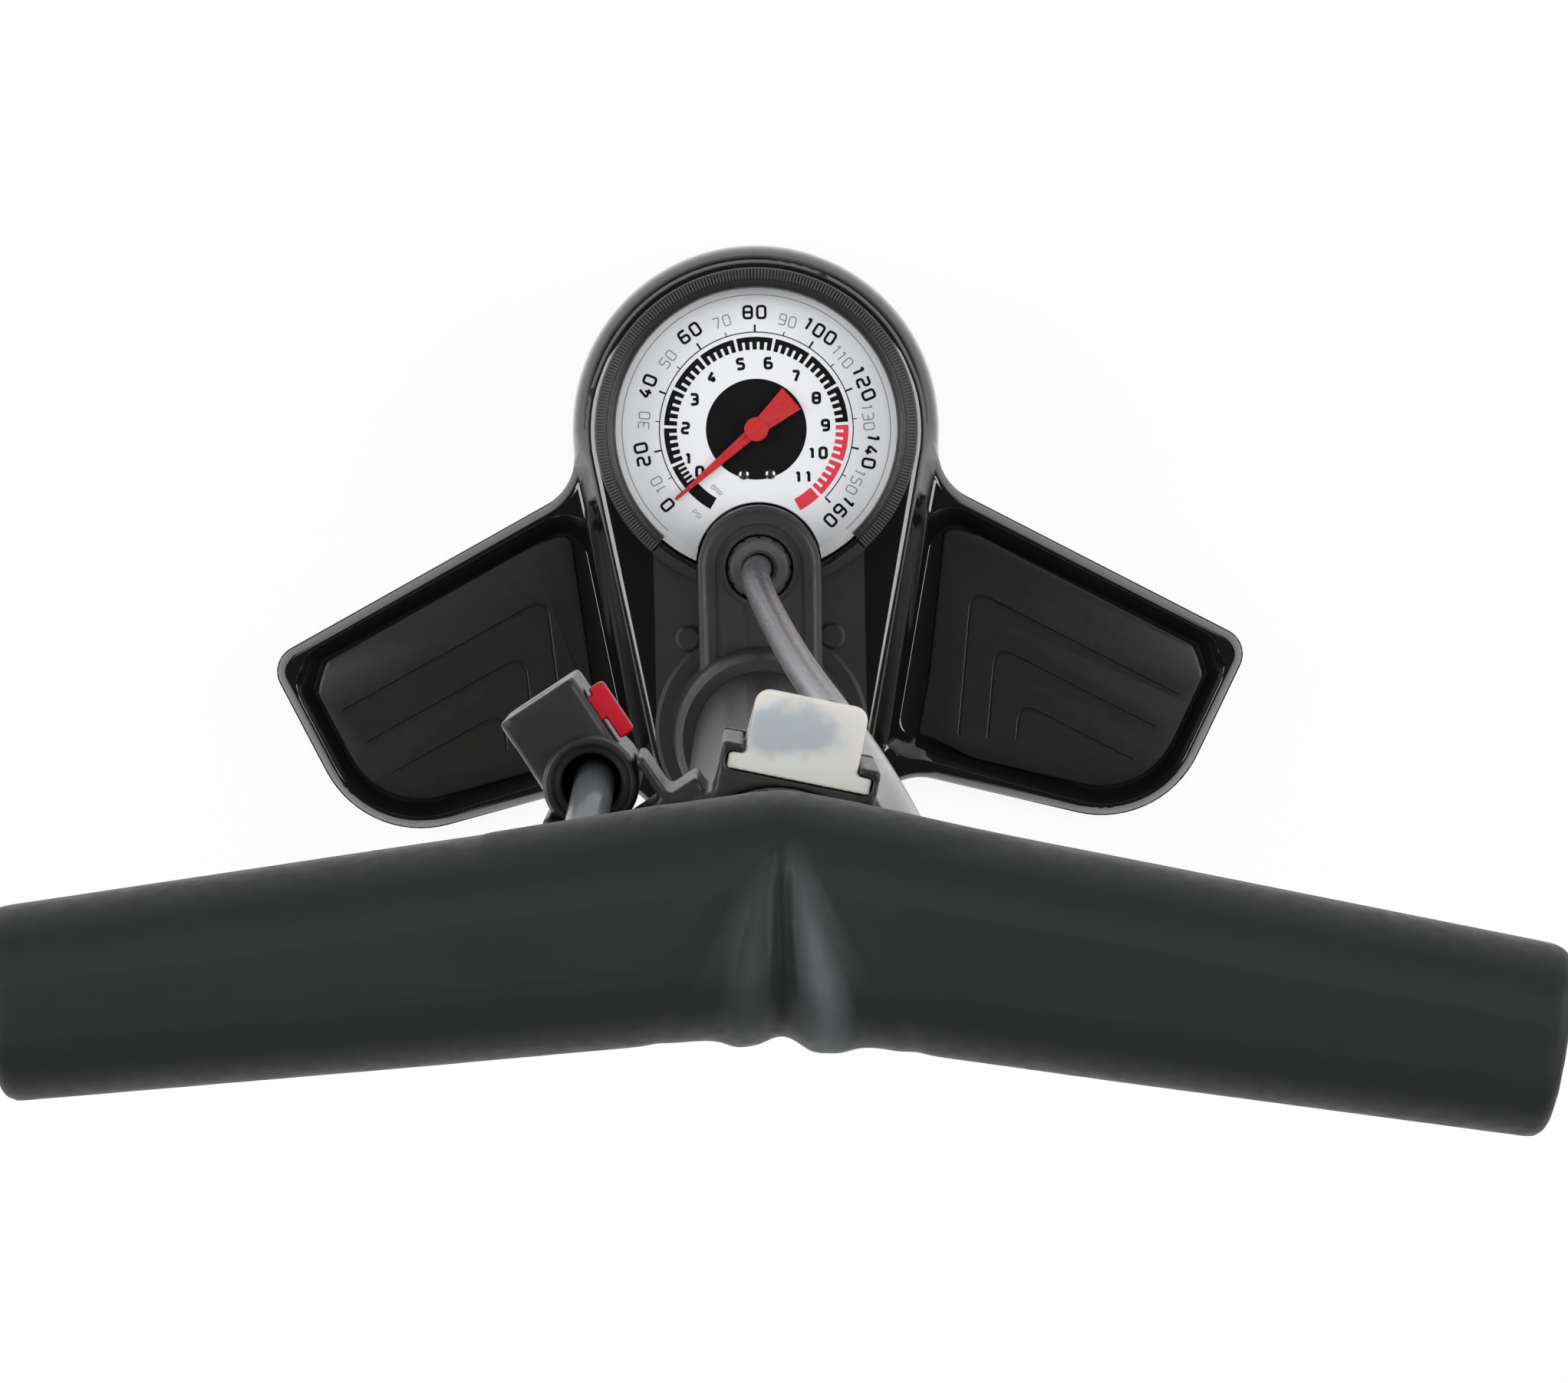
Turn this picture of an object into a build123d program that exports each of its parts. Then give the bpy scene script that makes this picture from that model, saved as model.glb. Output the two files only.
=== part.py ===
from build123d import *
import os
from math import acos, asin, atan2, cos, degrees, pi, radians, sin, sqrt, tan

# Floor pump for bicycle tyres: pressed steel foot base, moulded gauge housing, steel barrel,
# turning T handle, hose with a push-on head, and a box of adaptors clipped to the barrel.
# Millimetres. Z up, the barrel's axis at x = y = 0, the floor at z = 0, the gauge towards +Y.

os.makedirs("parts", exist_ok=True)

# ---------------------------------------------------------------- driving dimensions
fit = 0.05             # radial clearance of a running or pushed-in fit
gap = 0.3              # air between pieces that only pass each other

# pressed base
sheet = 2.0            # steel thickness
base_edge_z = 2.5      # height of the turned-down edge above the floor
rim_z = 15.0           # crest of the rim
floor_z = 9.5          # the sunken floor that carries the foot pads
rib_z = 24.0           # flat top of the raised spine
gauge_y = 77.0         # dial axis in front of the barrel axis
lobe_margin = 7.2      # base outline outside the gauge's bezel
tail_margin = 20.0     # base outline outside the barrel, behind it
wing_sweep = 28.2      # front edge of a wing, degrees back from X
wing_front_y = 88.0    # where the two front edges would meet on the centre line
wing_span = 129.6      # sharp tip of a wing, from the centre line
heel_x, heel_y = 104.9, -31.2    # sharp rear corner of a wing
heel_sweep = 14.3      # rear edge of a wing, degrees forward from X
tip_round, heel_round, notch_round = 7.0, 28.0, 14.0
rim_width = 10.5       # outline to the sunken floor
rim_slope = 5.8        # part of that width taken by the inner slope
spine_margin = 9.3     # foot of the spine outside the bezel
spine_rear_r = 36.0    # foot of the spine round the barrel
spine_draft = 25.8     # lean of the spine's sides, degrees
spine_round, recess_round = 4.0, 1.4    # rounded top of the spine, bottom of the sunken floors
crest_round = 1.0      # inner side of the rim's crest
pad_thick = 3.0
pad_gap = 1.0
groove_pitch, groove_width, groove_depth = 7.6, 1.0, 0.9
screw_r, screw_head_r, screw_head_h, screw_len = 1.9, 3.6, 2.2, 13.0

# housing
deck_z = 50.0          # top of the block between gauge and barrel
block_half = 27.0
port_back = 35.0       # hose port behind the dial axis
tower_r, tower_z = 15.6, 75.0
tower_groove_r = 11.2
cup_wall = 3.4
cup_gap = 2.0          # dial's edge to the cup
collar_wall, collar_z = 4.3, 98.0
flange_over, flange_z = 6.1, 52.0
boss_x, boss_y, boss_r = 18.4, 23.7, 3.4
foot_duct_r, foot_duct_z = 1.6, 35.0    # duct from the barrel's foot to the check valve
valve_bore, seat_z = 4.6, 37.0          # bore round the check valve, foot of its cone seat
poppet_r, poppet_stem = 3.9, 1.5
nut_seat_z = 66.0        # bottom of the hose nut's recess
plug_z = 44.5            # top of the plug in the barrel's foot
groove_z, groove_h, groove_d = 37.2, 2.0, 1.45     # its sealing groove

# barrel, rod and piston
barrel_r, barrel_wall = 17.0, 1.5
socket_z = 34.0        # bottom of the barrel's socket in the housing
barrel_top = 556.0
cap_z = 570.0          # top of the screwed cap
skirt_len = 16.0       # the cap reaches this far into the barrel
bush_wall = 3.0
rod_r, rod_wall = 6.0, 1.2
piston_z, piston_h = 45.0, 15.0

# handle
grip_z = 614.0         # axis of the arms
grip_len = 240.0
grip_sweep = 8.1       # each arm is swept back, degrees
grip_y = 2.0           # arms' axes meet this far in front of the rod
grip_end_w, grip_mid_w, grip_hub_w = 29.6, 33.6, 37.0
grip_end_h, grip_mid_h, grip_hub_h = 28.0, 30.5, 32.0
grip_mid_x = 58.0      # the mid width and height hold this far out
grip_overlap = 6.0     # each arm starts this far past the middle
grip_corner = 0.42     # corner radius of the arms' section, as a part of its height
grip_end_round = 2.4
ridge_x, ridge_r, ridge_proud = 6.3, 3.4, 1.6      # the two ridges' full rear ends
grip_low = 597.0       # bottom of the neck under the grip
handle_turn = -2.5     # resting twist of the handle about the rod, degrees
core_wall, bar_r, core_reach = 3.5, 5.0, 70.0    # metal insert: sleeve, arm bars and their length
pin_r, pin_z = 2.0, 605.0

# gauge
dial_r = 36.0          # visible radius of the dial
ring_width, ring_z = 5.0, 58.0
dial_z = 44.6
lens_lip, lens_thick = 2.8, 2.0    # the bezel holds this much of the lens's edge
bezel_end = radians(49)          # the bezel stops this far below the horizontal on each side
plate_low_z, sector_z, plate_high_z = 38.4, 40.2, 42.2
plate_thick, sector_thick = 1.0, 1.0
arbor_r = 0.9
sector_x, sector_y = 15.5, -10.8   # sector's arbor from the dial axis
lever_len, lever_turn = 5.5, -35.7
tip_travel = 4.4       # slot in the link for the tube's pin
tube_r, tube_low, tube_high = 23.0, 31.5, 38.0
tube_thick = 2.4
tube_root, tube_tip = 228.8, -6.0  # degrees round the dial axis
duct_r, duct_z = 1.1, 42.0
needle_len, needle_angle = 27.5, 220.0
gear_module, pinion_teeth, sector_ratio = 0.45, 12, 6

# hose and its port
hose_r = 3.5
nut_r = 8.0
barb_r, barb_bore, barb_low = 5.2, 1.3, 50.0     # spigot under the nut: shank, bore, foot

# top bracket, adaptor box and pump head
box_turn = -12.5       # the box faces this far off +Y, degrees
box_w, box_d, box_h = 19.0, 14.2, 42.0
box_wall = 1.4
box_top = 545.0
shelf_z = 527.0        # shelf inside the box
tray_flange, flange_d = 2.6, 2.8   # flanges that run in the rails
bracket_wall, bracket_low, bracket_high = 2.3, 508.0, 546.0
flat_wall, bracket_web = 1.0, 1.4  # wall at the flat behind the box, and its web
box_back = 0.2         # air between the flat and the box
rail_wall, rail_lip = 1.0, 1.3
clip_gap, clip_wall = 0.3, 1.7   # clip round the head
clip_low, clip_high = 516.0, 545.0
head_x, head_y = -30.5, 17.7     # hose axis in the head
head_turn = 122.4      # direction of the nozzle, degrees from X
head_top = 540.0
head_low, head_collar_z = 504.0, 538.0
head_ring_r, head_hole_r = 8.1, 6.3
head_bore = 5.0        # channel for the hose under the collar
nozzle_len, nozzle_w, nut_cap = 18.6, 15.0, 2.5
nozzle_low, nozzle_high, nozzle_axis_z = 505.0, 538.0, 523.5
valve_r = 3.95         # tyre valve socket in the seal
seal_r, seal_x = 5.8, 7.0
pin_disc, pin_len = 1.2, 3.1    # disc behind the seal, and its pin
button_x0, button_x1, button_d = 3.4, 13.3, 2.8
stem_x0, stem_x1 = 7.6, 12.2
switch_z, switch_h = 530.6, 4.6
switch_proud = 3.4     # the switch's button stands out this far
switch_travel = 3.0

# route of the hose: from the port, up beside the barrel, round behind the rod, into the head
hose_route = [
    (0, 42, 67), (0.1, 41.6, 92), (0.6, 36.6, 140), (2.6, 30.3, 215), (7.4, 25, 300),
    (14, 19.6, 395), (20.5, 11.3, 480.5), (25, 2.2, 531), (34, -7.2, 560.5), (20, -15.9, 582.5),
    (-5, -15.1, 589.2), (-25.7, -7, 579.4), (-32.6, 5.4, 562.5), (-29.6, 18.6, 537.5),
    (-30.5, 17.7, 514),
]

UP = (Align.CENTER, Align.CENTER, Align.MIN)
CORNER = (Align.MIN, Align.MIN, Align.MIN)
barrel_bore = barrel_r - barrel_wall
collar_r = barrel_r + collar_wall
flange_r = collar_r + flange_over
tail_r = barrel_r + tail_margin
port_y = gauge_y - port_back
cup_r = dial_r + cup_gap
lens_r = dial_r + lens_lip
ring_r = dial_r + ring_width
lobe_r = ring_r + lobe_margin
spine_front_r = ring_r + spine_margin
core_r = rod_r + core_wall
bracket_r = barrel_r + bracket_wall
bracket_flat = barrel_r + flat_wall
flange_x = box_w / 2 + tray_flange
rail_x = flange_x + gap + rail_wall


# ---------------------------------------------------------------- helpers
def rod(radius, low, high, at=(0, 0)):
    """Upright cylinder between two heights."""
    return Pos(at[0], at[1], low) * Cylinder(radius, high - low, align=UP)


def block(x0, x1, y0, y1, z0, z1):
    """Box between limits."""
    return Pos(x0, y0, z0) * Box(x1 - x0, y1 - y0, z1 - z0, align=CORNER)


def turned(*points, at=(0, 0)):
    """Solid turned about an upright axis from (radius, height) points."""
    profile = Plane.XZ * Polygon(*points, align=None)
    return Pos(at[0], at[1], 0) * revolve(profile, Axis.Z)


def plate(face, low, high):
    """Flat outline raised between two heights."""
    return Pos(0, 0, low) * extrude(face, high - low)


def both_sides(solid):
    """A piece and its mirror image across the centre line."""
    return solid + mirror(solid, about=Plane.YZ)


def shrink(face, amount):
    return offset(face, -amount, kind=Kind.ARC)


def save(solid, node):
    solid.label = node
    export_step(solid, f"parts/{node}.step")


# ---------------------------------------------------------------- pressed base
def tapered_slot(front_r, rear_r):
    """Two circles, round the gauge and round the barrel, and the tangents between them."""
    lean = asin((front_r - rear_r) / gauge_y)
    front_x, front_y = front_r * cos(lean), gauge_y - front_r * sin(lean)
    rear_x, rear_y = rear_r * cos(lean), -rear_r * sin(lean)
    flank = Polygon((front_x, front_y), (-front_x, front_y), (-rear_x, rear_y), (rear_x, rear_y), align=None)
    return Pos(0, gauge_y) * Circle(front_r) + Circle(rear_r) + flank


def wings_outline():
    """Both wings: straight swept edges, tight tips and wide heels."""
    tip_y = wing_front_y - wing_span * tan(radians(wing_sweep))
    rear_y = heel_y + heel_x * tan(radians(heel_sweep))
    points = [(heel_x, heel_y), (wing_span, tip_y), (0, wing_front_y)]
    points += [(-wing_span, tip_y), (-heel_x, heel_y), (0, rear_y)]
    rounds = [heel_round, tip_round, 1, tip_round, heel_round, 1]
    return make_face(FilletPolyline(*points, radius=rounds, close=True))


def base_outline():
    """Whole outline of the base, its inner corners rounded by growing and shrinking it."""
    face = tapered_slot(lobe_r, spine_rear_r) + wings_outline() + Circle(tail_r)
    return shrink(offset(face, notch_round, kind=Kind.ARC), notch_round)


def foot_recess(grow=0.0):
    """The two sunken floors of the wings, seen from above."""
    face = shrink(base_outline(), rim_width) - tapered_slot(spine_front_r, spine_rear_r)
    face = offset(shrink(face, 4.5), 4.5, kind=Kind.ARC)
    return offset(face, grow, kind=Kind.ARC) if grow else face


def pressed_form(inset):
    """Outer skin of the pressing, or with an inset the space beneath it."""
    outline = base_outline()
    if inset:
        outline = shrink(outline, inset)
    low = base_edge_z - (1.0 if inset else 0.0)
    body = plate(outline, low, rim_z - inset)
    body = fillet(body.faces().sort_by(Axis.Z)[-1].edges(), 3.6 - inset)
    for low_face in foot_recess(inset).faces():
        low_part = Pos(0, 0, floor_z - inset) * low_face
        high_part = Pos(0, 0, rim_z + 0.01) * offset(low_face, rim_slope, kind=Kind.ARC)
        recess = loft([low_part.face(), high_part.face()], ruled=True)
        body -= fillet(recess.faces().sort_by(Axis.Z)[0].edges(), recess_round + inset)
    crest = body.faces().filter_by(Axis.Z).sort_by(Axis.Z)[-1]
    body = fillet([edge for wire in crest.inner_wires() for edge in wire.edges()], crest_round)
    spine = extrude(tapered_slot(spine_front_r - inset, spine_rear_r - inset), rib_z - floor_z,
                    taper=spine_draft)
    spine = fillet(spine.faces().sort_by(Axis.Z)[-1].edges(), spine_round - inset)
    spine = Pos(0, 0, floor_z - inset) * spine
    return body + (spine & plate(outline, floor_z - inset, rib_z))


def base_screw_places():
    return [(x, y) for x in (-boss_x, boss_x) for y in (boss_y, gauge_y + boss_y)]


def base_plate():
    """Steel pressing: rim, sunken floors and raised spine, open underneath."""
    base = pressed_form(0) - pressed_form(sheet)
    for place in base_screw_places():
        base -= rod(screw_r + gap, rib_z - 2 * sheet, rib_z + 1, place)
    return base


def foot_pad(side):
    """Rubber tread in one sunken floor, with nested L grooves that follow the wing's edges."""
    face = [f for f in foot_recess(-pad_gap).faces() if f.center().X * side > 0][0]
    pad = plate(face, floor_z, floor_z + pad_thick)
    pad = chamfer(pad.faces().sort_by(Axis.Z)[-1].edges(), 0.7)
    across = radians(wing_sweep)
    inner = atan2(spine_front_r - spine_rear_r, gauge_y)
    cut = Sketch()
    for row in range(1, 5):
        step = row * groove_pitch
        corner_x = spine_rear_r + rim_width - 1 + step * 1.05
        corner_y = wing_front_y - rim_width / cos(across) - corner_x * tan(across) - step
        far = (corner_x + 90, corner_y - 90 * tan(across))
        near = (corner_x - 40 * tan(inner), corner_y - 40)
        points = [(x * side, y) for x, y in (far, (corner_x, corner_y), near)]
        cut += trace(FilletPolyline(*points, radius=5), groove_width)
    cut &= shrink(face, 5.0)
    return pad - plate(cut, floor_z + pad_thick - groove_depth, floor_z + pad_thick + 1)


def rubber_feet():
    """Feet plugged in from below: under the barrel, under the gauge and under each wing."""
    stud = Circle(3.5)
    feet = plate(Circle(15) - Circle(5.5), 0, 3) + plate(Circle(13.5) - Circle(9), 3, rib_z - sheet)
    feet += plate(Circle(5.6), 0, 1.6)
    front = Pos(0, gauge_y + 30) * Circle(9)
    feet += plate(front, 0, 3) + plate(shrink(front, 2), 3, rib_z - sheet)
    for x, y in ((94, -3), (62, 34)):
        wing_foot = plate(Circle(8), 0, 3) + plate(stud, 3, floor_z - sheet)
        wing_foot += plate(Circle(6), 3, 5)
        feet += Pos(x, y) * wing_foot + Pos(-x, y) * wing_foot
    return feet


def pan_screw(low, length):
    """Slotted pan-head screw pointing up, its head below."""
    r, h = screw_head_r, screw_head_h
    screw = turned((0, low - h), (r - 1, low - h), (r, low - h / 2), (r, low), (screw_r, low),
                   (screw_r, low + length),
                   (0, low + length))
    return screw - block(-0.5, 0.5, -r, r, low - h - 1, low - h + 1)


def base_screws():
    screw = pan_screw(rib_z - sheet, screw_len)
    return Compound(children=[Pos(x, y) * screw for x, y in base_screw_places()])


# ---------------------------------------------------------------- housing
def ring_segment(outer, inner, low, high):
    """Ring round the dial axis."""
    ring = rod(outer, low, high, (0, gauge_y))
    return ring - rod(inner, low - 1, high + 1, (0, gauge_y))


def tower_face(radius):
    """Outline of the hose tower: round in front of the port, straight back to the collar."""
    return Pos(0, port_y) * Circle(radius) + Pos(0, port_y / 2) * Rectangle(2 * radius, port_y)


def tower():
    body = plate(tower_face(tower_r), rib_z, tower_z)
    return fillet(body.faces().sort_by(Axis.Z)[-1].edges(), 2.6)


def valve_chamber():
    """Upright bore under the port, narrowing to the check valve's seat."""
    root, step = foot_duct_z - 1, nut_seat_z - 8
    return turned((0, root), (2, root), (2, seat_z), (valve_bore, seat_z + 2), (valve_bore, step),
                  (barb_r, step),
                  (barb_r, nut_seat_z), (0, nut_seat_z), at=(0, port_y))


def foot_duct(front):
    """Level passage from inside the barrel's plug forward to a given distance."""
    start = barrel_bore / 2
    return Pos(0, front, foot_duct_z) * Rot(90, 0, 0) * Cylinder(foot_duct_r, front - start, align=UP)


def lens_wall():
    """The block's low wall round the lens, between the two ends of the bezel."""
    wall = ring_segment(ring_r + 0.4, lens_r + gap, deck_z, ring_z - 2)
    keep = Pos(0, gauge_y) * Polygon((0, 0), (-60 * cos(bezel_end), -60 * sin(bezel_end)),
                                     (60 * cos(bezel_end), -60 * sin(bezel_end)), align=None)
    wall &= plate(keep, deck_z - 1, ring_z)
    return wall - plate(tower_face(tower_r + gap), deck_z, ring_z)


def gauge_housing():
    """Moulded body: gauge cup, block, hose tower and barrel collar, with its air passages."""
    body = rod(ring_r + 0.4, rib_z, deck_z, (0, gauge_y))
    deck = plate(RectangleRounded(2 * block_half, gauge_y, 3), rib_z, deck_z)
    body += Pos(0, gauge_y / 2) * deck
    body += turned((0, rib_z), (flange_r, rib_z), (flange_r, flange_z - 1), (flange_r - 1, flange_z),
                   (collar_r + 2.4, flange_z), (collar_r + 1.6, flange_z + 2), (collar_r + 0.6, collar_z - 3),
                   (collar_r - 1.4, collar_z), (0, collar_z))
    for x in (-boss_x, boss_x):
        body += turned((0, deck_z), (boss_r, deck_z), (boss_r, deck_z + 1.6), (boss_r - 0.8, deck_z + 2.4),
                       (0, deck_z + 2.4), at=(x, boss_y))
    cavity = Pos(0, gauge_y) * Circle(cup_r) - tower_face(tower_r)
    body -= plate(cavity, rib_z + cup_wall, deck_z + 1)
    for x in (-boss_x, boss_x):
        body += rod(boss_r + 0.8, rib_z + cup_wall, rib_z + 12, (x, gauge_y + boss_y))
    body += tower()
    inner = tower_face(tower_groove_r) - Pos(0, port_y) * Circle(nut_r + 1.6)
    body -= plate(inner, tower_z - 0.8, tower_z + 1)
    body -= rod(barrel_r + fit, socket_z, collar_z + 1)
    body -= rod(nut_r + 0.6, nut_seat_z, tower_z + 1, (0, port_y)) + valve_chamber()
    body -= foot_duct(port_y)
    duct = Rot(0, 0, socket_turn()) * Rot(0, 90, 0) * Cylinder(duct_r, tower_r + 1, align=UP)
    body -= Pos(0, port_y, duct_z) * duct
    body += lens_wall()
    for place in base_screw_places():
        body -= rod(screw_r, rib_z - 1, rib_z - sheet + screw_len + gap, place)
    return body


def barrel_end():
    """Plug at the foot of the barrel with the air outlet and a sealing groove."""
    r, low, high = barrel_bore - fit, groove_z, groove_z + groove_h
    plug = turned((0, socket_z), (r, socket_z), (r, low), (r - groove_d, low), (r - groove_d, high),
                  (r, high),
                  (r, plug_z - 1.1), (r - 1.2, plug_z), (0, plug_z))
    plug -= rod(foot_duct_r + 0.6, foot_duct_z + 1, plug_z + 1, (0, barrel_bore / 2))
    return plug - foot_duct(port_y)


def barrel_ring():
    """Square-section sealing ring in the plug's groove."""
    r, low, high = barrel_bore - fit, groove_z + 0.1, groove_z + groove_h - 0.1
    return turned((r - groove_d + fit, low), (r, low), (r, high), (r - groove_d + fit, high))


def check_valve():
    """Poppet: a cone on the seat with a stem that guides the spring."""
    r, stem, low = poppet_r, poppet_stem, seat_z + 0.1
    return turned((0, low), (r - 2, low), (r, low + 2.2), (r, low + 3.9), (stem, low + 4.3),
                  (stem, low + 9.4),
                  (0, low + 9.4), at=(0, port_y))


def valve_spring():
    """Coil spring between the poppet and the barb."""
    low = seat_z + 4.9
    path = Helix(2.5, barb_low - low - 0.6, (poppet_stem + valve_bore) / 2 - 0.15)
    start = Plane(origin=path @ 0, z_dir=path % 0)
    coil = sweep(start * RegularPolygon(0.4, 4), path=path, is_frenet=True)
    return Pos(0, port_y, low) * coil


# ---------------------------------------------------------------- barrel, rod and piston
def barrel():
    tube = rod(barrel_r, socket_z, barrel_top)
    tube -= rod(barrel_bore, socket_z - 1, barrel_top + 1)
    return tube - foot_duct(port_y)


def barrel_cap():
    """Screwed cap: a skirt inside the barrel, a ribbed head flush with it."""
    head_r, bore, low = barrel_r + 0.4, rod_r + bush_wall, barrel_top - skirt_len
    cap = turned((bore, low), (barrel_bore - fit, low), (barrel_bore - fit, barrel_top), (head_r, barrel_top),
                 (head_r, cap_z - 3), (head_r - 2.4, cap_z), (bore, cap_z))
    notch = Pos(head_r + 0.3, 0, barrel_top + 2) * Cylinder(0.9, cap_z - barrel_top - 5.5, align=UP)
    for turn in range(0, 360, 24):
        cap -= Rot(0, 0, turn) * notch
    return cap


def rod_bush():
    """Flanged bush that guides the rod in the cap."""
    inner, outer, low = rod_r + fit, rod_r + bush_wall, barrel_top - skirt_len
    return turned((inner, low - 2), (outer + 1.6, low - 2), (outer + 1.6, low), (outer, low), (outer, cap_z),
                  (inner, cap_z))


def rod_wiper():
    """Felt ring on the cap that wipes the rod."""
    return turned((rod_r + fit, cap_z), (rod_r + 4.2, cap_z),
                  (rod_r + 3.4, cap_z + 1.8), (rod_r + fit, cap_z + 1.8))


def piston_rod():
    """Steel tube from the piston up into the handle, with a bead above the piston."""
    tube = rod(rod_r, piston_z, grip_z + 4) + rod(rod_r + 1.8, piston_z + piston_h + gap,
                                                  piston_z + piston_h + 2)
    tube -= rod(rod_r - rod_wall, piston_z + 1, grip_z + 3)
    return tube - Rot(0, 0, handle_turn) * Pos(0, 0, pin_z) * Rot(90, 0, 0) * Cylinder(pin_r, 40)


def piston():
    """Piston on the end of the rod, grooved for its cup seal."""
    r = barrel_bore - gap
    low, high = piston_z + 2, piston_z + piston_h
    hole = rod_r + fit
    return turned((hole, low), (r - 3, low), (r - 3, low + 5), (r, low + 5), (r, high - 1.5), (r - 1.5, high),
                  (hole, high))


def piston_seal():
    """Rubber cup under the piston's shoulder, its lip against the bore."""
    r, low = barrel_bore - fit, piston_z + 2
    return turned((barrel_bore - gap - 3, low + 1), (r - 1.4, low + 1), (r, low), (r, low + 3.2),
                  (r - 1.2, low + 5),
                  (barrel_bore - gap - 3, low + 5))


def piston_nut():
    """Hexagonal nut on the rod below the piston."""
    high = piston_z + 2 - gap
    return plate(RegularPolygon(rod_r + 3.6, 6), piston_z, high) - rod(rod_r, piston_z - 1, high + 1)




# ---------------------------------------------------------------- gauge
def gauge_ring():
    """Knurled bezel, open where the block takes over, with a lip that holds the lens down."""
    profile = [(lens_r + gap, deck_z), (ring_r + 0.4, deck_z),
               (ring_r + 0.4, deck_z + 1.2), (ring_r, deck_z + 2),
               (ring_r, ring_z - 2.2), (ring_r - 2.2, ring_z),
               (dial_r + 1.6, ring_z - 0.4), (dial_r, ring_z - 2),
               (dial_r, deck_z + lens_thick), (lens_r + gap, deck_z + lens_thick)]
    ring = turned(*profile, at=(0, gauge_y))
    notch = Pos(ring_r + 0.9, 0, deck_z + 2) * Cylinder(1.4, 8, align=UP)
    for turn in range(-44, 226, 9):
        ring -= Pos(0, gauge_y) * Rot(0, 0, turn) * notch
    gate = Pos(0, gauge_y) * Polygon((0, 0), (-90 * cos(bezel_end), -90 * sin(bezel_end)),
                                     (90 * cos(bezel_end), -90 * sin(bezel_end)), align=None)
    return ring - plate(offset(gate, gap), deck_z - 1, ring_z + 1)


def gauge_lens():
    """Clear disc cut out round the hose tower."""
    lens = Pos(0, gauge_y) * Circle(lens_r) - tower_face(tower_r + gap)
    return plate(lens, deck_z, deck_z + lens_thick)


def gauge_dial():
    """Printed disc on two posts, cut out round the hose tower."""
    face = Pos(0, gauge_y) * Circle(dial_r + 1.2) - tower_face(tower_r + 2 * gap)
    face -= Pos(0, gauge_y) * Circle(arbor_r + gap)
    for place in dial_screw_places():
        face -= Pos(*place) * Circle(0.8 + fit)
    return plate(face, dial_z, dial_z + 0.8)


def dial_screw_places():
    return [(-3.4, gauge_y - 11.5), (3.4, gauge_y - 11.5)]


def dial_screws():
    screw = rod(0.8, plate_high_z, dial_z + 0.8) + rod(1.5, dial_z + 0.8, dial_z + 1.5)
    return Compound(children=[Pos(*place) * screw for place in dial_screw_places()])


def gear_tooth(pitch_r, teeth):
    """Involute tooth pointing along X, thinned for backlash."""
    base_r = pitch_r * cos(radians(20))
    root, tip = pitch_r - 1.25 * gear_module, pitch_r + gear_module
    flank = []
    for step in range(4):
        r = root + (tip - root) * step / 3
        roll = acos(min(1.0, base_r / r))
        half = 0.85 * pi / (2 * teeth) + tan(radians(20)) - radians(20) - (tan(roll) - roll)
        flank.append((r * cos(half), r * sin(half)))
    return Polygon(*[(x, -y) for x, y in flank], *reversed(flank), (0.7 * root, 0), align=None)


def gear_blank(pitch_r, teeth, turns):
    """Root disc with teeth at the given angles."""
    tooth = gear_tooth(pitch_r, teeth)
    face = Circle(pitch_r - 1.25 * gear_module)
    for turn in turns:
        face += Rot(0, 0, turn) * tooth
    return face


def sector_side():
    """Direction from the sector's arbor to the spindle, degrees."""
    return degrees(atan2(-sector_y, -sector_x))


def needle_spindle():
    """Spindle with its pinion; a tooth gap faces the sector at rest."""
    pitch_r = gear_module * pinion_teeth / 2
    turns = [sector_side() + 180 + 360 / pinion_teeth * (step + 0.5) for step in range(pinion_teeth)]
    pinion = plate(gear_blank(pitch_r, pinion_teeth, turns), sector_z - 0.2, sector_z + sector_thick + 0.2)
    shaft = rod(arbor_r - fit, plate_low_z - 0.8, dial_z + 4)
    return Pos(0, gauge_y) * (pinion + shaft)


def sector_place():
    return Pos(sector_x, gauge_y + sector_y)


def sector_gear():
    """Toothed sector on its arbor, with the short lever that the link moves."""
    teeth = pinion_teeth * sector_ratio
    pitch_r = gear_module * teeth / 2
    turns = [sector_side() + 360 / teeth * step for step in range(-10, 2)]
    blank = gear_blank(pitch_r, teeth, turns)
    wedge = Polygon((0, 0), *[(20 * cos(radians(a)), 20 * sin(radians(a)))
                              for a in (turns[0] - 3, turns[-1] + 3)],
                    align=None)
    window = wedge & (Circle(pitch_r - 3.4) - Circle(4.6))
    face = (blank & wedge) - offset(window, -1.6) + Circle(2.6)
    lever = Pos(lever_len / 2, 0) * SlotCenterToCenter(lever_len, 3.0)
    face += Rot(0, 0, lever_turn) * lever
    gear = plate(face, sector_z, sector_z + sector_thick)
    gear += rod(arbor_r - fit, plate_low_z, plate_high_z + plate_thick)
    gear += Rot(0, 0, lever_turn) * Pos(lever_len, 0) * rod(0.6, sector_z, plate_high_z - gap)
    return sector_place() * gear


def lever_eye():
    turn = radians(lever_turn)
    return (sector_x + lever_len * cos(turn), gauge_y + sector_y + lever_len * sin(turn))


def tip_pin():
    turn = radians(tube_tip)
    return (tube_r * cos(turn), gauge_y + tube_r * sin(turn))


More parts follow.
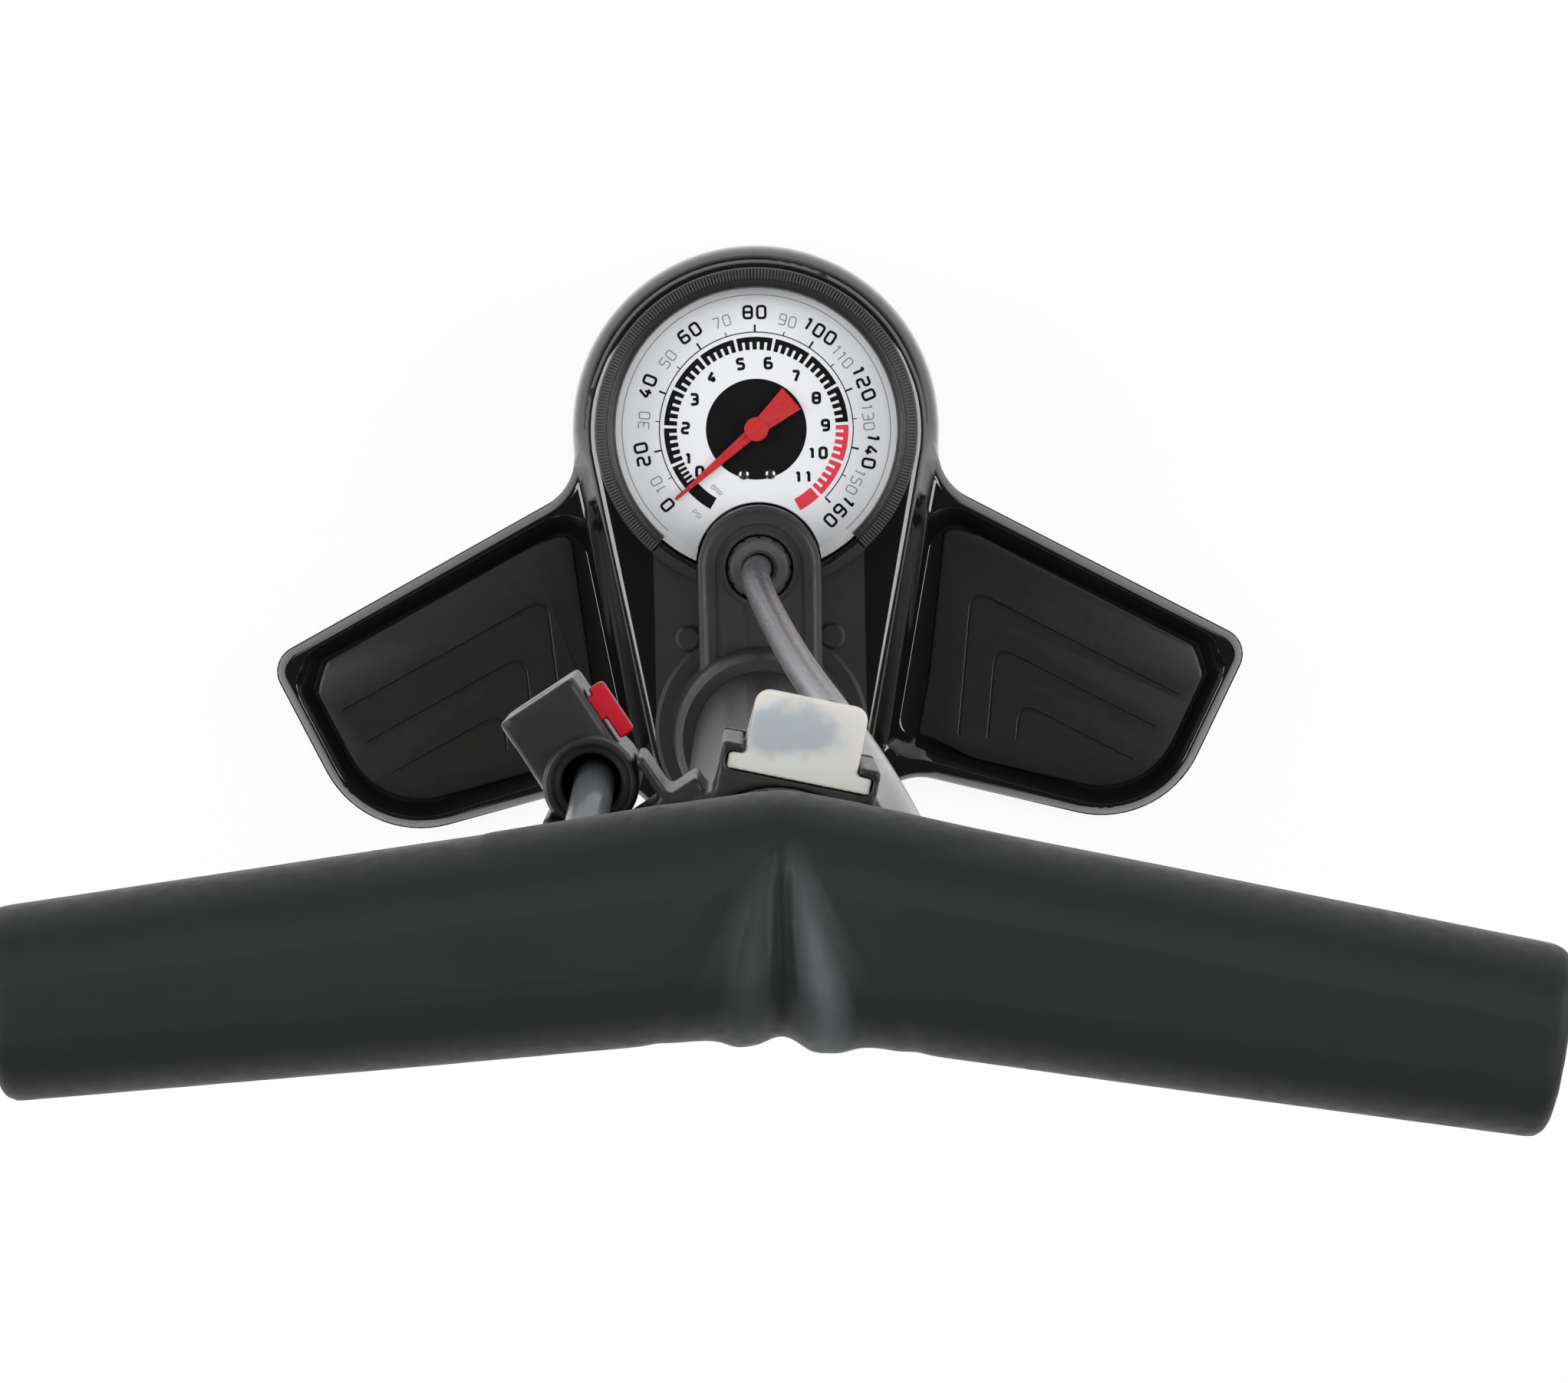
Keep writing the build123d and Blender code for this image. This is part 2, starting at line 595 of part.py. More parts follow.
def bourdon_link():
    """Flat link from the lever to the tube's tip, slotted at the tip."""
    (x0, y0), (x1, y1) = lever_eye(), tip_pin()
    length = sqrt((x1 - x0) ** 2 + (y1 - y0) ** 2)
    strip = Pos(length / 2, 0) * SlotCenterToCenter(length, 4.0)
    strip -= Circle(0.6 + fit)
    strip -= Pos(length - tip_travel / 2, 0) * SlotCenterToCenter(tip_travel, 2 * (0.6 + 0.5))
    low = sector_z + sector_thick + gap
    link = Rot(0, 0, degrees(atan2(y1 - y0, x1 - x0))) * strip
    return Pos(x0, y0) * plate(link, low, plate_high_z - gap)


def bourdon_tube():
    """Flattened tube bent round the movement, closed at its tip, which carries a pin."""
    outer = ring_segment(tube_r + tube_thick / 2, tube_r - tube_thick / 2, tube_low, tube_high)
    inner = ring_segment(tube_r + tube_thick / 2 - 0.5, tube_r - tube_thick / 2 + 0.5, tube_low + 0.7,
                         tube_high - 0.7)
    away = Pos(0, gauge_y) * Polygon((0, 0), *[(60 * cos(radians(a)), 60 * sin(radians(a)))
                                               for a in (tube_root, (tube_root + tube_tip + 360) / 2,
                                                         tube_tip)],
                                     align=None)
    gate = plate(away, tube_low - 1, tube_high + 1)
    tube = (outer - gate) - (inner - gate)
    tab = rod(2.0, tube_low, tube_high, tip_pin()) + rod(0.6, tube_high, plate_high_z - gap, tip_pin())
    return tube + tab


def tube_root_place():
    turn = radians(tube_root)
    return tube_r * cos(turn), gauge_y + tube_r * sin(turn)


def socket_turn():
    """Direction from the port to the root of the tube, degrees."""
    x, y = tube_root_place()
    return degrees(atan2(y - port_y, x))


def gauge_socket_block():
    """Root block between the hose tower and the tube, with the air duct."""
    root_x, root_y = tube_root_place()
    reach = sqrt(root_x ** 2 + (root_y - port_y) ** 2)
    low = rib_z + cup_wall
    body = block(tower_r - 2, reach + 3, -4.5, 4.5, low, duct_z + 1.8) - rod(tower_r, low - 1, duct_z + 3)
    body -= Pos(0, 0, duct_z) * Rot(0, 90, 0) * Cylinder(duct_r, reach, align=UP)
    body -= rod(duct_r, tube_low + 2, duct_z, (reach, 0))
    body = Pos(0, port_y) * Rot(0, 0, socket_turn()) * body
    return body - bourdon_tube()


def plate_corners():
    x, y = sector_x, gauge_y + sector_y
    return [(x, y - 8.5), (-7.0, gauge_y - 6.0), (8.0, gauge_y + 11.0)]


def movement_outline():
    """Rounded triangle through the pillars, the arbor and the dial's posts."""
    circles = [Pos(*at) * Circle(3.0) for at in plate_corners()]
    circles += [Pos(sector_x, gauge_y + sector_y) * Circle(3.0)]
    circles += [Pos(*at) * Circle(2.4) for at in dial_screw_places()]
    return make_hull([edge for circle in circles for edge in circle.edges()])


def movement_plate(low):
    face = movement_outline() - Pos(0, gauge_y) * Circle(arbor_r) - sector_place() * Circle(arbor_r)
    return plate(face, low, low + plate_thick)


def movement_base():
    """Lower plate on three legs."""
    legs = plate_corners()
    body = movement_plate(plate_low_z)
    for at in legs:
        body += rod(2.4, rib_z + cup_wall, plate_low_z, at)
    return body


def movement_bridge():
    """Upper plate on three pillars, with the two posts that carry the dial."""
    body = movement_plate(plate_high_z)
    for at in plate_corners():
        body += rod(2.0, plate_low_z + plate_thick, plate_high_z, at)
    for at in dial_screw_places():
        body += rod(1.7, plate_high_z + plate_thick, dial_z, at)
        body -= rod(0.8, plate_high_z, dial_z + 1, at)
    return body


def gauge_needle():
    """Pointer with a widening tail and a round hub."""
    shape = Polygon((needle_len, -0.35), (needle_len, 0.35), (2, 1.5), (-12, 3.6), (-12, -3.6), (2, -1.5),
                    align=None)
    low = dial_z + 2.2
    pointer = plate(shape, low, low + 0.6) + rod(3.1, low - 0.2, low + 2)
    pointer = pointer - rod(arbor_r - fit, low - 1, low + 1.8)
    return Pos(0, gauge_y) * Rot(0, 0, needle_angle) * pointer


# ---------------------------------------------------------------- hose
def hose_barb():
    """Screwed-in spigot that the hose sits on."""
    foot_r, step, top = valve_bore - fit, nut_seat_z - 8, nut_seat_z + 1
    return turned((barb_bore, barb_low), (foot_r, barb_low), (foot_r, step), (barb_r - fit, step),
                  (barb_r - fit, nut_seat_z), (hose_r, nut_seat_z), (hose_r, top), (barb_bore, top),
                  at=(0, port_y))


def hose_nut():
    """Round nut that clamps the hose in the tower."""
    bore, top = hose_r + gap, tower_z - 0.4
    nut = turned((bore, nut_seat_z), (nut_r, nut_seat_z), (nut_r, top - 1), (nut_r - 1.2, top),
                 (bore + 0.8, top),
                 (bore, top - 0.8), at=(0, port_y))
    for turn in range(0, 360, 30):
        nut -= Pos(0, port_y) * Rot(0, 0, turn) * rod(0.8, nut_seat_z + 3, tower_z, (nut_r + 0.3, 0))
    return nut


def hose():
    """Free-lying hose: a round tube along its route, each corner as wide as its runs allow."""
    points = [Vector(*place) for place in hose_route]
    radii = []
    for before, at, after in zip(points, points[1:], points[2:]):
        turn = radians((at - before).get_angle(after - at))
        radii.append(0.45 * min((at - before).length, (after - at).length) / tan(turn / 2))
    path = FilletPolyline(*points, radius=radii)
    section = Plane(origin=path @ 0, z_dir=path % 0) * Circle(hose_r)
    tube = sweep(section, path=path)
    print("hose corner radii", [round(radius, 1) for radius in radii])
    print("hose length", round(path.length, 1), "volume", round(tube.volume, 1),
          "section x length", round(pi * hose_r ** 2 * path.length, 1))
    return tube


# ---------------------------------------------------------------- top bracket and adaptor box
def box_place():
    """Frame of the adaptor box: y outwards from the barrel's axis, x across."""
    return Rot(0, 0, box_turn)


def head_place():
    """Frame of the pump head: the hose's axis, x along the nozzle."""
    return Pos(head_x, head_y) * Rot(0, 0, head_turn)


def top_bracket():
    """Sleeve on the barrel with two rails for the adaptor box and a clip for the head."""
    sleeve = rod(bracket_r, bracket_low, bracket_high)
    sleeve -= box_place() * block(-30, 30, bracket_flat, 30, bracket_low - 1, bracket_high + 1)
    web = bracket_flat - bracket_web
    rail = block(-rail_x, rail_x, web, bracket_flat, bracket_low, bracket_high)
    wall_x = flange_x + gap
    lip_y = bracket_flat + box_back + flange_d + gap
    side = block(wall_x, rail_x, web - 2.5, lip_y + rail_lip, bracket_low, bracket_high)
    side += block(box_w / 2 + gap, rail_x, lip_y, lip_y + rail_lip, bracket_low, bracket_high)
    rail += both_sides(side)
    rail += block(-rail_x, rail_x, web, lip_y + rail_lip, box_top - box_h - 2.4, box_top - box_h)
    rail += block(-rail_x, rail_x, web, bracket_flat, box_top - box_h - 2.4, bracket_low)
    sleeve += box_place() * rail
    back = -(head_ring_r + clip_gap + clip_wall)
    half = head_ring_r + clip_gap + clip_wall
    clip = block(back, -0.5, -half, half, clip_low, clip_high)
    clip -= block(back + clip_wall, 0, -half + clip_wall, half - clip_wall, clip_low - 1, clip_high + 1)
    clip += block(back, back + clip_wall, -half - 5.5, half, clip_low, clip_high)
    arm = block(back - 9, back + 0.5, -half - 5.5, -half + 1.2, clip_low, clip_high)
    arm += block(back - 12, back + 0.5, 2, 5, clip_low, clip_high)
    sleeve += head_place() * (clip + arm)
    sleeve -= rod(barrel_r + fit, bracket_low - 20, bracket_high + 1)
    return sleeve


def adaptor_box():
    """Open-backed tray with a flange on each side, a floor and a shelf."""
    back = bracket_flat + box_back
    low = box_top - box_h
    tray = block(-box_w / 2, box_w / 2, back, back + box_d, low, box_top)
    tray = fillet(tray.edges().filter_by(Axis.Z).group_by(Axis.Y)[-1], 2.4)
    tray += block(-flange_x, flange_x, back, back + flange_d, low, box_top)
    inner = box_w / 2 - box_wall
    tray -= block(-inner, inner, back - 1, back + box_d - box_wall, low + box_wall, box_top - box_wall)
    tray += block(0.4, inner, back + 5.4, back + box_d - box_wall, shelf_z, shelf_z + 1.2)
    return box_place() * tray


def ball_needle():
    """Inflating needle for balls: a hexagonal foot and a thin tube."""
    low = box_top - box_h + box_wall
    y = bracket_flat + box_back + box_d - box_wall - 3.3
    body = plate(RegularPolygon(3.2, 6), low, low + 5) + rod(2.2, low + 5, low + 9)
    body += turned((0, low + 9), (2.2, low + 9), (1.0, low + 11), (1.0, low + 34), (0.5, low + 35),
                   (0, low + 35))
    return box_place() * Pos(box_wall + 3.4 - box_w / 2, y, 0) * body


def cone_adaptor():
    """Tapered plastic nozzle for beach balls and mattresses."""
    low = box_top - box_h + box_wall
    y = bracket_flat + box_back + box_d - box_wall - 3.8
    body = turned((0, low), (3.6, low), (3.6, low + 2), (2.6, low + 2.6), (2.6, low + 6), (3.4, low + 6.6),
                  (1.5, low + 21), (0, low + 21))
    return box_place() * Pos(box_w / 2 - box_wall - 3.9, y, 0) * body


def valve_adaptor():
    """Small threaded sleeve for the thin bicycle valve."""
    low = shelf_z + 1.2
    y = bracket_flat + box_back + box_d - box_wall - 3.8
    body = plate(RegularPolygon(3.5, 6), low, low + 5) + rod(2.8, low + 5, low + 11)
    body -= rod(1.6, low + 3, low + 12)
    return box_place() * Pos(box_w / 2 - box_wall - 3.9, y, 0) * body


# ---------------------------------------------------------------- pump head
def along_nozzle(solid):
    """Stand an upright piece down along the nozzle's axis."""
    return Pos(0, 0, nozzle_axis_z) * Rot(0, 90, 0) * solid


def head_body():
    """Moulded head: a round boss for the hose and a square nozzle block."""
    half = nozzle_w / 2
    body = rod(head_ring_r, head_low, head_collar_z)
    nozzle = block(0, nozzle_len - nut_cap, -half, half, nozzle_low, nozzle_high)
    body += fillet(nozzle.edges().filter_by(Axis.X), 2.2)
    body -= rod(head_bore, hose_route[-1][2] - 2, head_collar_z + 1)
    body -= rod(3.2, head_low + 3, head_collar_z)
    body -= along_nozzle(rod(seal_r, seal_x - pin_disc, nozzle_len))
    body -= Pos(0, 0, head_low + 4.5) * Rot(0, 90, 0) * Cylinder(1.2, seal_x + 1, align=UP)
    body -= rod(1.2, head_low + 4.5, nozzle_axis_z, (seal_x + 1, 0))
    low, high = switch_z - gap, switch_z + switch_h + gap
    body -= block(stem_x0 - gap, stem_x1 + gap, -20, 20, low, high)
    reach = -half - switch_proud + button_d + switch_travel + gap
    body -= block(button_x0 - gap, button_x1 + gap, -20, reach, low, high)
    return head_place() * body


def head_hose_collar():
    """Ring pressed on the boss, round the hose."""
    r = head_ring_r
    return head_place() * turned((head_hole_r, head_collar_z), (r, head_collar_z), (r, head_top - 1),
                                 (r - 0.6, head_top),
                                 (head_hole_r + 0.5, head_top), (head_hole_r, head_top - 0.8))


def head_barb():
    """Spigot in the boss that the hose sits on."""
    top = hose_route[-1][2]
    return head_place() * turned((1.2, head_low + 6), (3.2, head_low + 6), (3.2, top - 2),
                                 (head_bore, top - 2),
                                 (head_bore, top - 1), (hose_r, top), (1.2, top))


def head_seal():
    """Rubber bush that grips the valve, wider inside round the pin."""
    bush = rod(seal_r, seal_x, nozzle_len - nut_cap) - rod(valve_r, seal_x - 1, nozzle_len)
    bush -= rod(valve_r + 0.7, seal_x - 1, seal_x + pin_len + gap)
    return head_place() * along_nozzle(bush)


def head_cap():
    """Square cap over the seal with the valve's entry."""
    half = nozzle_w / 2
    cap = block(nozzle_len - nut_cap, nozzle_len, -half, half, nozzle_low, nozzle_high)
    cap = fillet(cap.edges().filter_by(Axis.X), 2.2)
    return head_place() * (cap - along_nozzle(rod(valve_r + 0.35, 0, nozzle_len + 1)))


def head_core_pin():
    """Disc with a pin that opens the valve's core."""
    pin = rod(seal_r, seal_x - pin_disc, seal_x) + rod(0.9, seal_x, seal_x + pin_len)
    for x in (-2.6, 2.6):
        pin -= rod(0.8, seal_x - 3, seal_x + 0.1, (x, 0))
    return head_place() * along_nozzle(pin)


def head_switch():
    """Push-through switch across the nozzle block, shown standing out on one side."""
    half = nozzle_w / 2
    face = -half - switch_proud
    button = block(button_x0, button_x1, face, face + button_d, switch_z, switch_z + switch_h)
    button = fillet(button.edges().filter_by(Axis.Z).group_by(Axis.Y)[0], 0.8)
    stem = block(stem_x0, stem_x1, face + button_d, half - 0.2, switch_z, switch_z + switch_h)
    return head_place() * (button + stem)


# ---------------------------------------------------------------- handle
def grip_arm():
    """One swept arm, lofted from inside the hub to its flat end."""
    end = grip_len / 2 / cos(radians(grip_sweep))
    stations = [(-grip_overlap, grip_hub_w, grip_hub_h), (grip_mid_x, grip_mid_w, grip_mid_h),
                (end, grip_end_w, grip_end_h)]
    faces = []
    for at, width, height in stations:
        outline = Plane.YZ * RectangleRounded(width, height, grip_corner * height)
        faces.append((Pos(at, 0, 0) * outline).face())
    arm = loft(faces, ruled=True)
    return fillet(arm.faces().sort_by(Axis.X)[-1].edges(), grip_end_round)


def grip_ridge():
    """Teardrop ridge over the hub: thin at the front, full where it turns down behind."""
    top, rear = grip_hub_h / 2, ridge_r - ridge_proud - grip_hub_w / 2
    stations = [(11, top - 0.7, 0.8, 0), (0, top - 1.0, 2.0, 4), (-9, top - 3.0, ridge_r, 25),
                (rear, 2, ridge_r, 80)]
    discs = []
    for index, (y, z, radius, dip) in enumerate(stations):
        x = ridge_x * (index + 1) / len(stations)
        discs.append((Pos(x, y, z) * Rot(90 + dip, 0, 0) * Circle(radius)).face())
    return loft(discs) + Pos(ridge_x, rear, 2) * Sphere(ridge_r)


def grip_solid():
    """Both arms, a short neck under them and the two ridges."""
    right = Rot(0, 0, -grip_sweep) * grip_arm() & block(0, grip_len, -60, 60, -40, 40)
    neck_r = core_r + 1.6
    neck = turned((0, -grip_z + grip_low), (neck_r, -grip_z + grip_low), (neck_r + 2, -grip_hub_h / 2 + 2),
                  (0, -grip_hub_h / 2 + 4), at=(0, -grip_y))
    return both_sides(right) + both_sides(grip_ridge()) + neck


def handle_place():
    return Rot(0, 0, handle_turn) * Pos(0, grip_y, grip_z)


def core_solid(grow=0.0):
    """Metal insert: a sleeve on the rod with a bar out into each arm."""
    sleeve = rod(core_r + grow, grip_low + 1 - grow, grip_z + 8 + grow)
    bar = Rot(0, 90, -grip_sweep) * Cylinder(bar_r + grow, core_reach + grow, align=UP)
    return sleeve + Pos(0, grip_y - 1, grip_z) * both_sides(bar)


def handle_core():
    core = core_solid() - rod(rod_r, grip_low, grip_z + 4)
    core -= Pos(0, 0, pin_z) * Rot(90, 0, 0) * Cylinder(pin_r, 40)
    return Rot(0, 0, handle_turn) * core


def handle_pin():
    """Cross pin through the sleeve and the rod."""
    return Rot(0, 0, handle_turn) * Pos(0, 0, pin_z) * Rot(90, 0, 0) * Cylinder(pin_r, 2 * core_r - 1)


def handle_grip():
    """Moulded grip round the metal insert."""
    body = handle_place() * grip_solid()
    return body - Rot(0, 0, handle_turn) * core_solid() - rod(rod_r + 0.4, grip_low - 1, grip_z)


# ---------------------------------------------------------------- every node
pieces = {
    "base_plate": base_plate, "left_foot_pad": lambda: foot_pad(-1), "right_foot_pad": lambda: foot_pad(1),
    "rubber_feet": rubber_feet, "base_screws": base_screws,
    "gauge_housing": gauge_housing, "barrel_end": barrel_end, "barrel_end_ring": barrel_ring,
    "check_valve": check_valve, "valve_spring": valve_spring, "hose_barb": hose_barb, "hose_nut": hose_nut,
    "gauge_ring": gauge_ring, "gauge_lens": gauge_lens, "gauge_dial": gauge_dial, "dial_screws": dial_screws,
    "needle_spindle": needle_spindle, "gauge_needle": gauge_needle, "sector_gear": sector_gear,
    "bourdon_link": bourdon_link, "bourdon_tube": bourdon_tube, "gauge_socket_block": gauge_socket_block,
    "movement_base": movement_base, "movement_bridge": movement_bridge,
    "barrel": barrel, "barrel_cap": barrel_cap, "rod_bush": rod_bush, "rod_wiper": rod_wiper,
    "piston_rod": piston_rod, "piston": piston, "piston_seal": piston_seal, "piston_nut": piston_nut,
    "handle_core": handle_core, "handle_pin": handle_pin, "handle_grip": handle_grip,
    "top_bracket": top_bracket, "adaptor_box": adaptor_box, "ball_needle": ball_needle,
    "cone_adaptor": cone_adaptor, "valve_adaptor": valve_adaptor,
    "hose": hose, "head_body": head_body, "head_hose_collar": head_hose_collar, "head_barb": head_barb,
    "head_seal": head_seal, "head_cap": head_cap, "head_core_pin": head_core_pin, "head_switch": head_switch,
}
for node, make in pieces.items():
    save(make(), node)
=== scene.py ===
from math import copysign, cos, exp, pi, radians, sin

import bmesh
import bpy
from mathutils import Matrix, Vector
from mathutils.kdtree import KDTree


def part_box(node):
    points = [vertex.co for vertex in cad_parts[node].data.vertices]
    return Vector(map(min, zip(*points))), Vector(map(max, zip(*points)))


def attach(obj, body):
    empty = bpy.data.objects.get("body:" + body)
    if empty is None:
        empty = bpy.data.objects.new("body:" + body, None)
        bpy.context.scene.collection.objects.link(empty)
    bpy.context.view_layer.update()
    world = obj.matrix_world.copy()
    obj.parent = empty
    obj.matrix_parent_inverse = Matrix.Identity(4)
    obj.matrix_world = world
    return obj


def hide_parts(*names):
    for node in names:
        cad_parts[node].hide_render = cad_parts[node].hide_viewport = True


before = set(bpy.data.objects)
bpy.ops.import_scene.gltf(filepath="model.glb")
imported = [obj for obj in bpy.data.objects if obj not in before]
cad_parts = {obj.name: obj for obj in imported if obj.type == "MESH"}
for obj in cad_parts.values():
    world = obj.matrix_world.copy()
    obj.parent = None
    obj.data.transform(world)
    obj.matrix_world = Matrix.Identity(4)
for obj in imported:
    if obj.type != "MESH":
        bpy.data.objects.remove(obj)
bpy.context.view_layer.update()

# Floor bike pump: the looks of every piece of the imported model, in metres, +Z up, the barrel's
# axis at x = y = 0 and the gauge towards +Y. The file follows the pump as it is put together.

# ---------------------------------------------------------------- studio
# A camera almost straight above the pump, a pale seamless floor and three soft lamps. The floor
# keeps a faint shadow; two lamps stand off to the sides, and black gloss doesn't mirror the third.
camera_height = 1.45
camera_aim = Vector((0.0062, 0.0073, 0.0))
camera_roll = radians(1.1)

scene = bpy.context.scene
scene.view_settings.view_transform = "Standard"


def link(thing):
    """Puts an object in the scene and returns it."""
    scene.collection.objects.link(thing)
    return thing


def add_node(tree, kind, values=None, **settings):
    """A node of a tree, with its settings and the values of its unlinked sockets."""
    node = tree.nodes.new(kind)
    for setting, value in settings.items():
        setattr(node, setting, value)
    for socket, value in (values or {}).items():
        node.inputs[socket].default_value = value
    return node


def wire(tree, *links):
    """Links nodes, each link given as a node and its output, then a node and its input."""
    for start, output, end, socket in links:
        tree.links.new(start.outputs[output], end.inputs[socket])


camera = link(bpy.data.objects.new("camera", bpy.data.cameras.new("camera")))
camera.data.lens = 125.4
camera.data.sensor_width = 36.0
camera.data.clip_start = 0.05
camera_place = Vector((-0.005, 0.0751, camera_height))
back = (camera_place - camera_aim).normalized()
side = Vector((cos(camera_roll), -sin(camera_roll), 0.0))
side = (side - side.dot(back) * back).normalized()
turn = Matrix((side, back.cross(side), back)).transposed()
camera.matrix_world = Matrix.Translation(camera_place) @ turn.to_4x4()
scene.camera = camera


lamps_face = Vector((0, 0, 0.25))


def soft_lamp(name, place, size, power, mirrored=True):
    """A wide lamp turned to the middle of the pump."""
    lamp = bpy.data.lights.new(name, "AREA")
    lamp.shape = "RECTANGLE"
    lamp.size, lamp.size_y = size
    lamp.energy = power
    holder = link(bpy.data.objects.new(name, lamp))
    holder.location = place
    holder.visible_glossy = mirrored
    holder.rotation_euler = (lamps_face - Vector(place)).to_track_quat("-Z", "Y").to_euler()


soft_lamp("lamp_left", (-1.5, 0.25, 1.4), (1.3, 1.0), 17)
soft_lamp("lamp_right", (1.5, 0.25, 1.4), (1.3, 1.0), 17)
soft_lamp("lamp_above", (0.0, 0.3, 2.2), (1.2, 1.2), 23, mirrored=False)

# The surround lights at one strength, and is mirrored bright at the horizon and dark above it.
lit, mirrored_low, mirrored_high, dark_from = 0.35, 0.9, 0.03, 0.3
world = bpy.data.worlds.new("studio")
world.use_nodes = True
scene.world = world
sky = world.node_tree
surround = sky.nodes["Background"]
surround.inputs["Color"].default_value = (0.8, 0.8, 0.8, 1)
ray = add_node(sky, "ShaderNodeLightPath")
direction = add_node(sky, "ShaderNodeTexCoord")
upward = add_node(sky, "ShaderNodeSeparateXYZ")
darkening = add_node(sky, "ShaderNodeMapRange", {"From Min": 0.0, "From Max": dark_from,
                     "To Min": mirrored_low, "To Max": mirrored_high}, interpolation_type="SMOOTHSTEP")
strength = add_node(sky, "ShaderNodeMix", {"A": lit})
wire(sky, (direction, "Generated", upward, "Vector"), (upward, "Z", darkening, "Value"),
     (ray, "Is Glossy Ray", strength, "Factor"), (darkening, "Result", strength, "B"),
     (strength, "Result", surround, "Strength"))

floor_mesh = bpy.data.meshes.new("floor")
floor_mesh.from_pydata([(-6, -6, 0), (6, -6, 0), (6, 6, 0), (-6, 6, 0)], [], [(0, 1, 2, 3)])
floor = link(bpy.data.objects.new("floor", floor_mesh))


def new_material(name):
    """An empty node material: returns it with its node tree and its output node."""
    material = bpy.data.materials.new(name)
    material.use_nodes = True
    tree = material.node_tree
    tree.nodes.clear()
    return material, tree, add_node(tree, "ShaderNodeOutputMaterial")


# The floor glows for the camera, keeps a share of real shading for the shadow, and has no back.
seen_glow, mirrored_glow = 0.9, 1.2
floor_material, tree, output = new_material("pale_floor")
shade = add_node(tree, "ShaderNodeBsdfDiffuse", {"Color": (0.86, 0.86, 0.86, 1)})
glow = add_node(tree, "ShaderNodeEmission")
dim = add_node(tree, "ShaderNodeEmission", {"Strength": mirrored_glow})
clear = add_node(tree, "ShaderNodeBsdfTransparent")
seen = add_node(tree, "ShaderNodeLightPath")
share = add_node(tree, "ShaderNodeMath", {1: seen_glow}, operation="MULTIPLY")
facing_away = add_node(tree, "ShaderNodeNewGeometry")
blend, seen_or_dim, one_sided = (add_node(tree, "ShaderNodeMixShader") for _ in range(3))
wire(tree, (seen, "Is Camera Ray", share, 0), (share, 0, blend, "Fac"), (shade, 0, blend, 1),
     (glow, 0, blend, 2), (seen, "Is Glossy Ray", seen_or_dim, "Fac"), (blend, 0, seen_or_dim, 1),
     (dim, 0, seen_or_dim, 2),
     (facing_away, "Backfacing", one_sided, "Fac"), (seen_or_dim, 0, one_sided, 1), (clear, 0, one_sided, 2),
     (one_sided, 0, output, "Surface"))
floor_mesh.materials.append(floor_material)

# ---------------------------------------------------------------- pressed base
# The foot base is one sheet of steel, pressed into a raised spine and two sunken floors and dipped
# in gloss black. Its rim is turned down all round, and it stays open underneath.
steel_black = (0.006, 0.006, 0.0055, 1)
FLOAT, COLOUR, VECTOR = "NodeSocketFloat", "NodeSocketColor", "NodeSocketVector"


def shader_group(name, inputs, outputs):
    """A shader node group with named sockets: returns it with its two end nodes."""
    group = bpy.data.node_groups.new(name, "ShaderNodeTree")
    for label, kind, value in inputs:
        socket = group.interface.new_socket(label, in_out="INPUT", socket_type=kind)
        socket.default_value = value
    for label, kind in outputs:
        group.interface.new_socket(label, in_out="OUTPUT", socket_type=kind)
    return group, group.nodes.new("NodeGroupInput"), group.nodes.new("NodeGroupOutput")


def fine_grain():
    """Moulded or sprayed grain: a roughness between two values, and a height for the relief."""
    inputs = [("Scale", FLOAT, 900), ("Smooth", FLOAT, 0.3), ("Rough", FLOAT, 0.5)]
    group, given, made = shader_group("fine_grain", inputs, [("Roughness", FLOAT), ("Height", FLOAT)])
    place = add_node(group, "ShaderNodeTexCoord")
    grain = add_node(group, "ShaderNodeTexNoise", {"Detail": 3})
    spread = add_node(group, "ShaderNodeMapRange", {"From Min": 0.3, "From Max": 0.7})
    wire(group, (place, "Object", grain, "Vector"), (given, "Scale", grain, "Scale"),
         (grain, "Fac", spread, "Value"), (given, "Smooth", spread, "To Min"),
         (given, "Rough", spread, "To Max"), (spread, "Result", made, "Roughness"),
         (grain, "Fac", made, "Height"))
    return group


def settled_dust():
    """A colour with thin patches of dust on whatever faces up."""
    inputs = [("Colour", COLOUR, (0.05, 0.05, 0.05, 1)), ("Dust", COLOUR, (0.2, 0.19, 0.17, 1)),
              ("Amount", FLOAT, 0.1), ("Scale", FLOAT, 40)]
    group, given, made = shader_group("settled_dust", inputs, [("Colour", COLOUR)])
    place = add_node(group, "ShaderNodeTexCoord")
    patches = add_node(group, "ShaderNodeTexNoise", {"Detail": 6})
    facing = add_node(group, "ShaderNodeSeparateXYZ")
    share, cover = (add_node(group, "ShaderNodeMath", operation="MULTIPLY", use_clamp=True) for _ in range(2))
    mix = add_node(group, "ShaderNodeMix", data_type="RGBA")
    wire(group, (place, "Object", patches, "Vector"), (given, "Scale", patches, "Scale"),
         (place, "Normal", facing, "Vector"), (facing, "Z", share, 0), (patches, "Fac", share, 1),
         (share, 0, cover, 0), (given, "Amount", cover, 1), (cover, 0, mix, "Factor"),
         (given, "Colour", mix, "A"), (given, "Dust", mix, "B"), (mix, "Result", made, "Colour"))
    return group


grain_group = fine_grain()
dust_group = settled_dust()


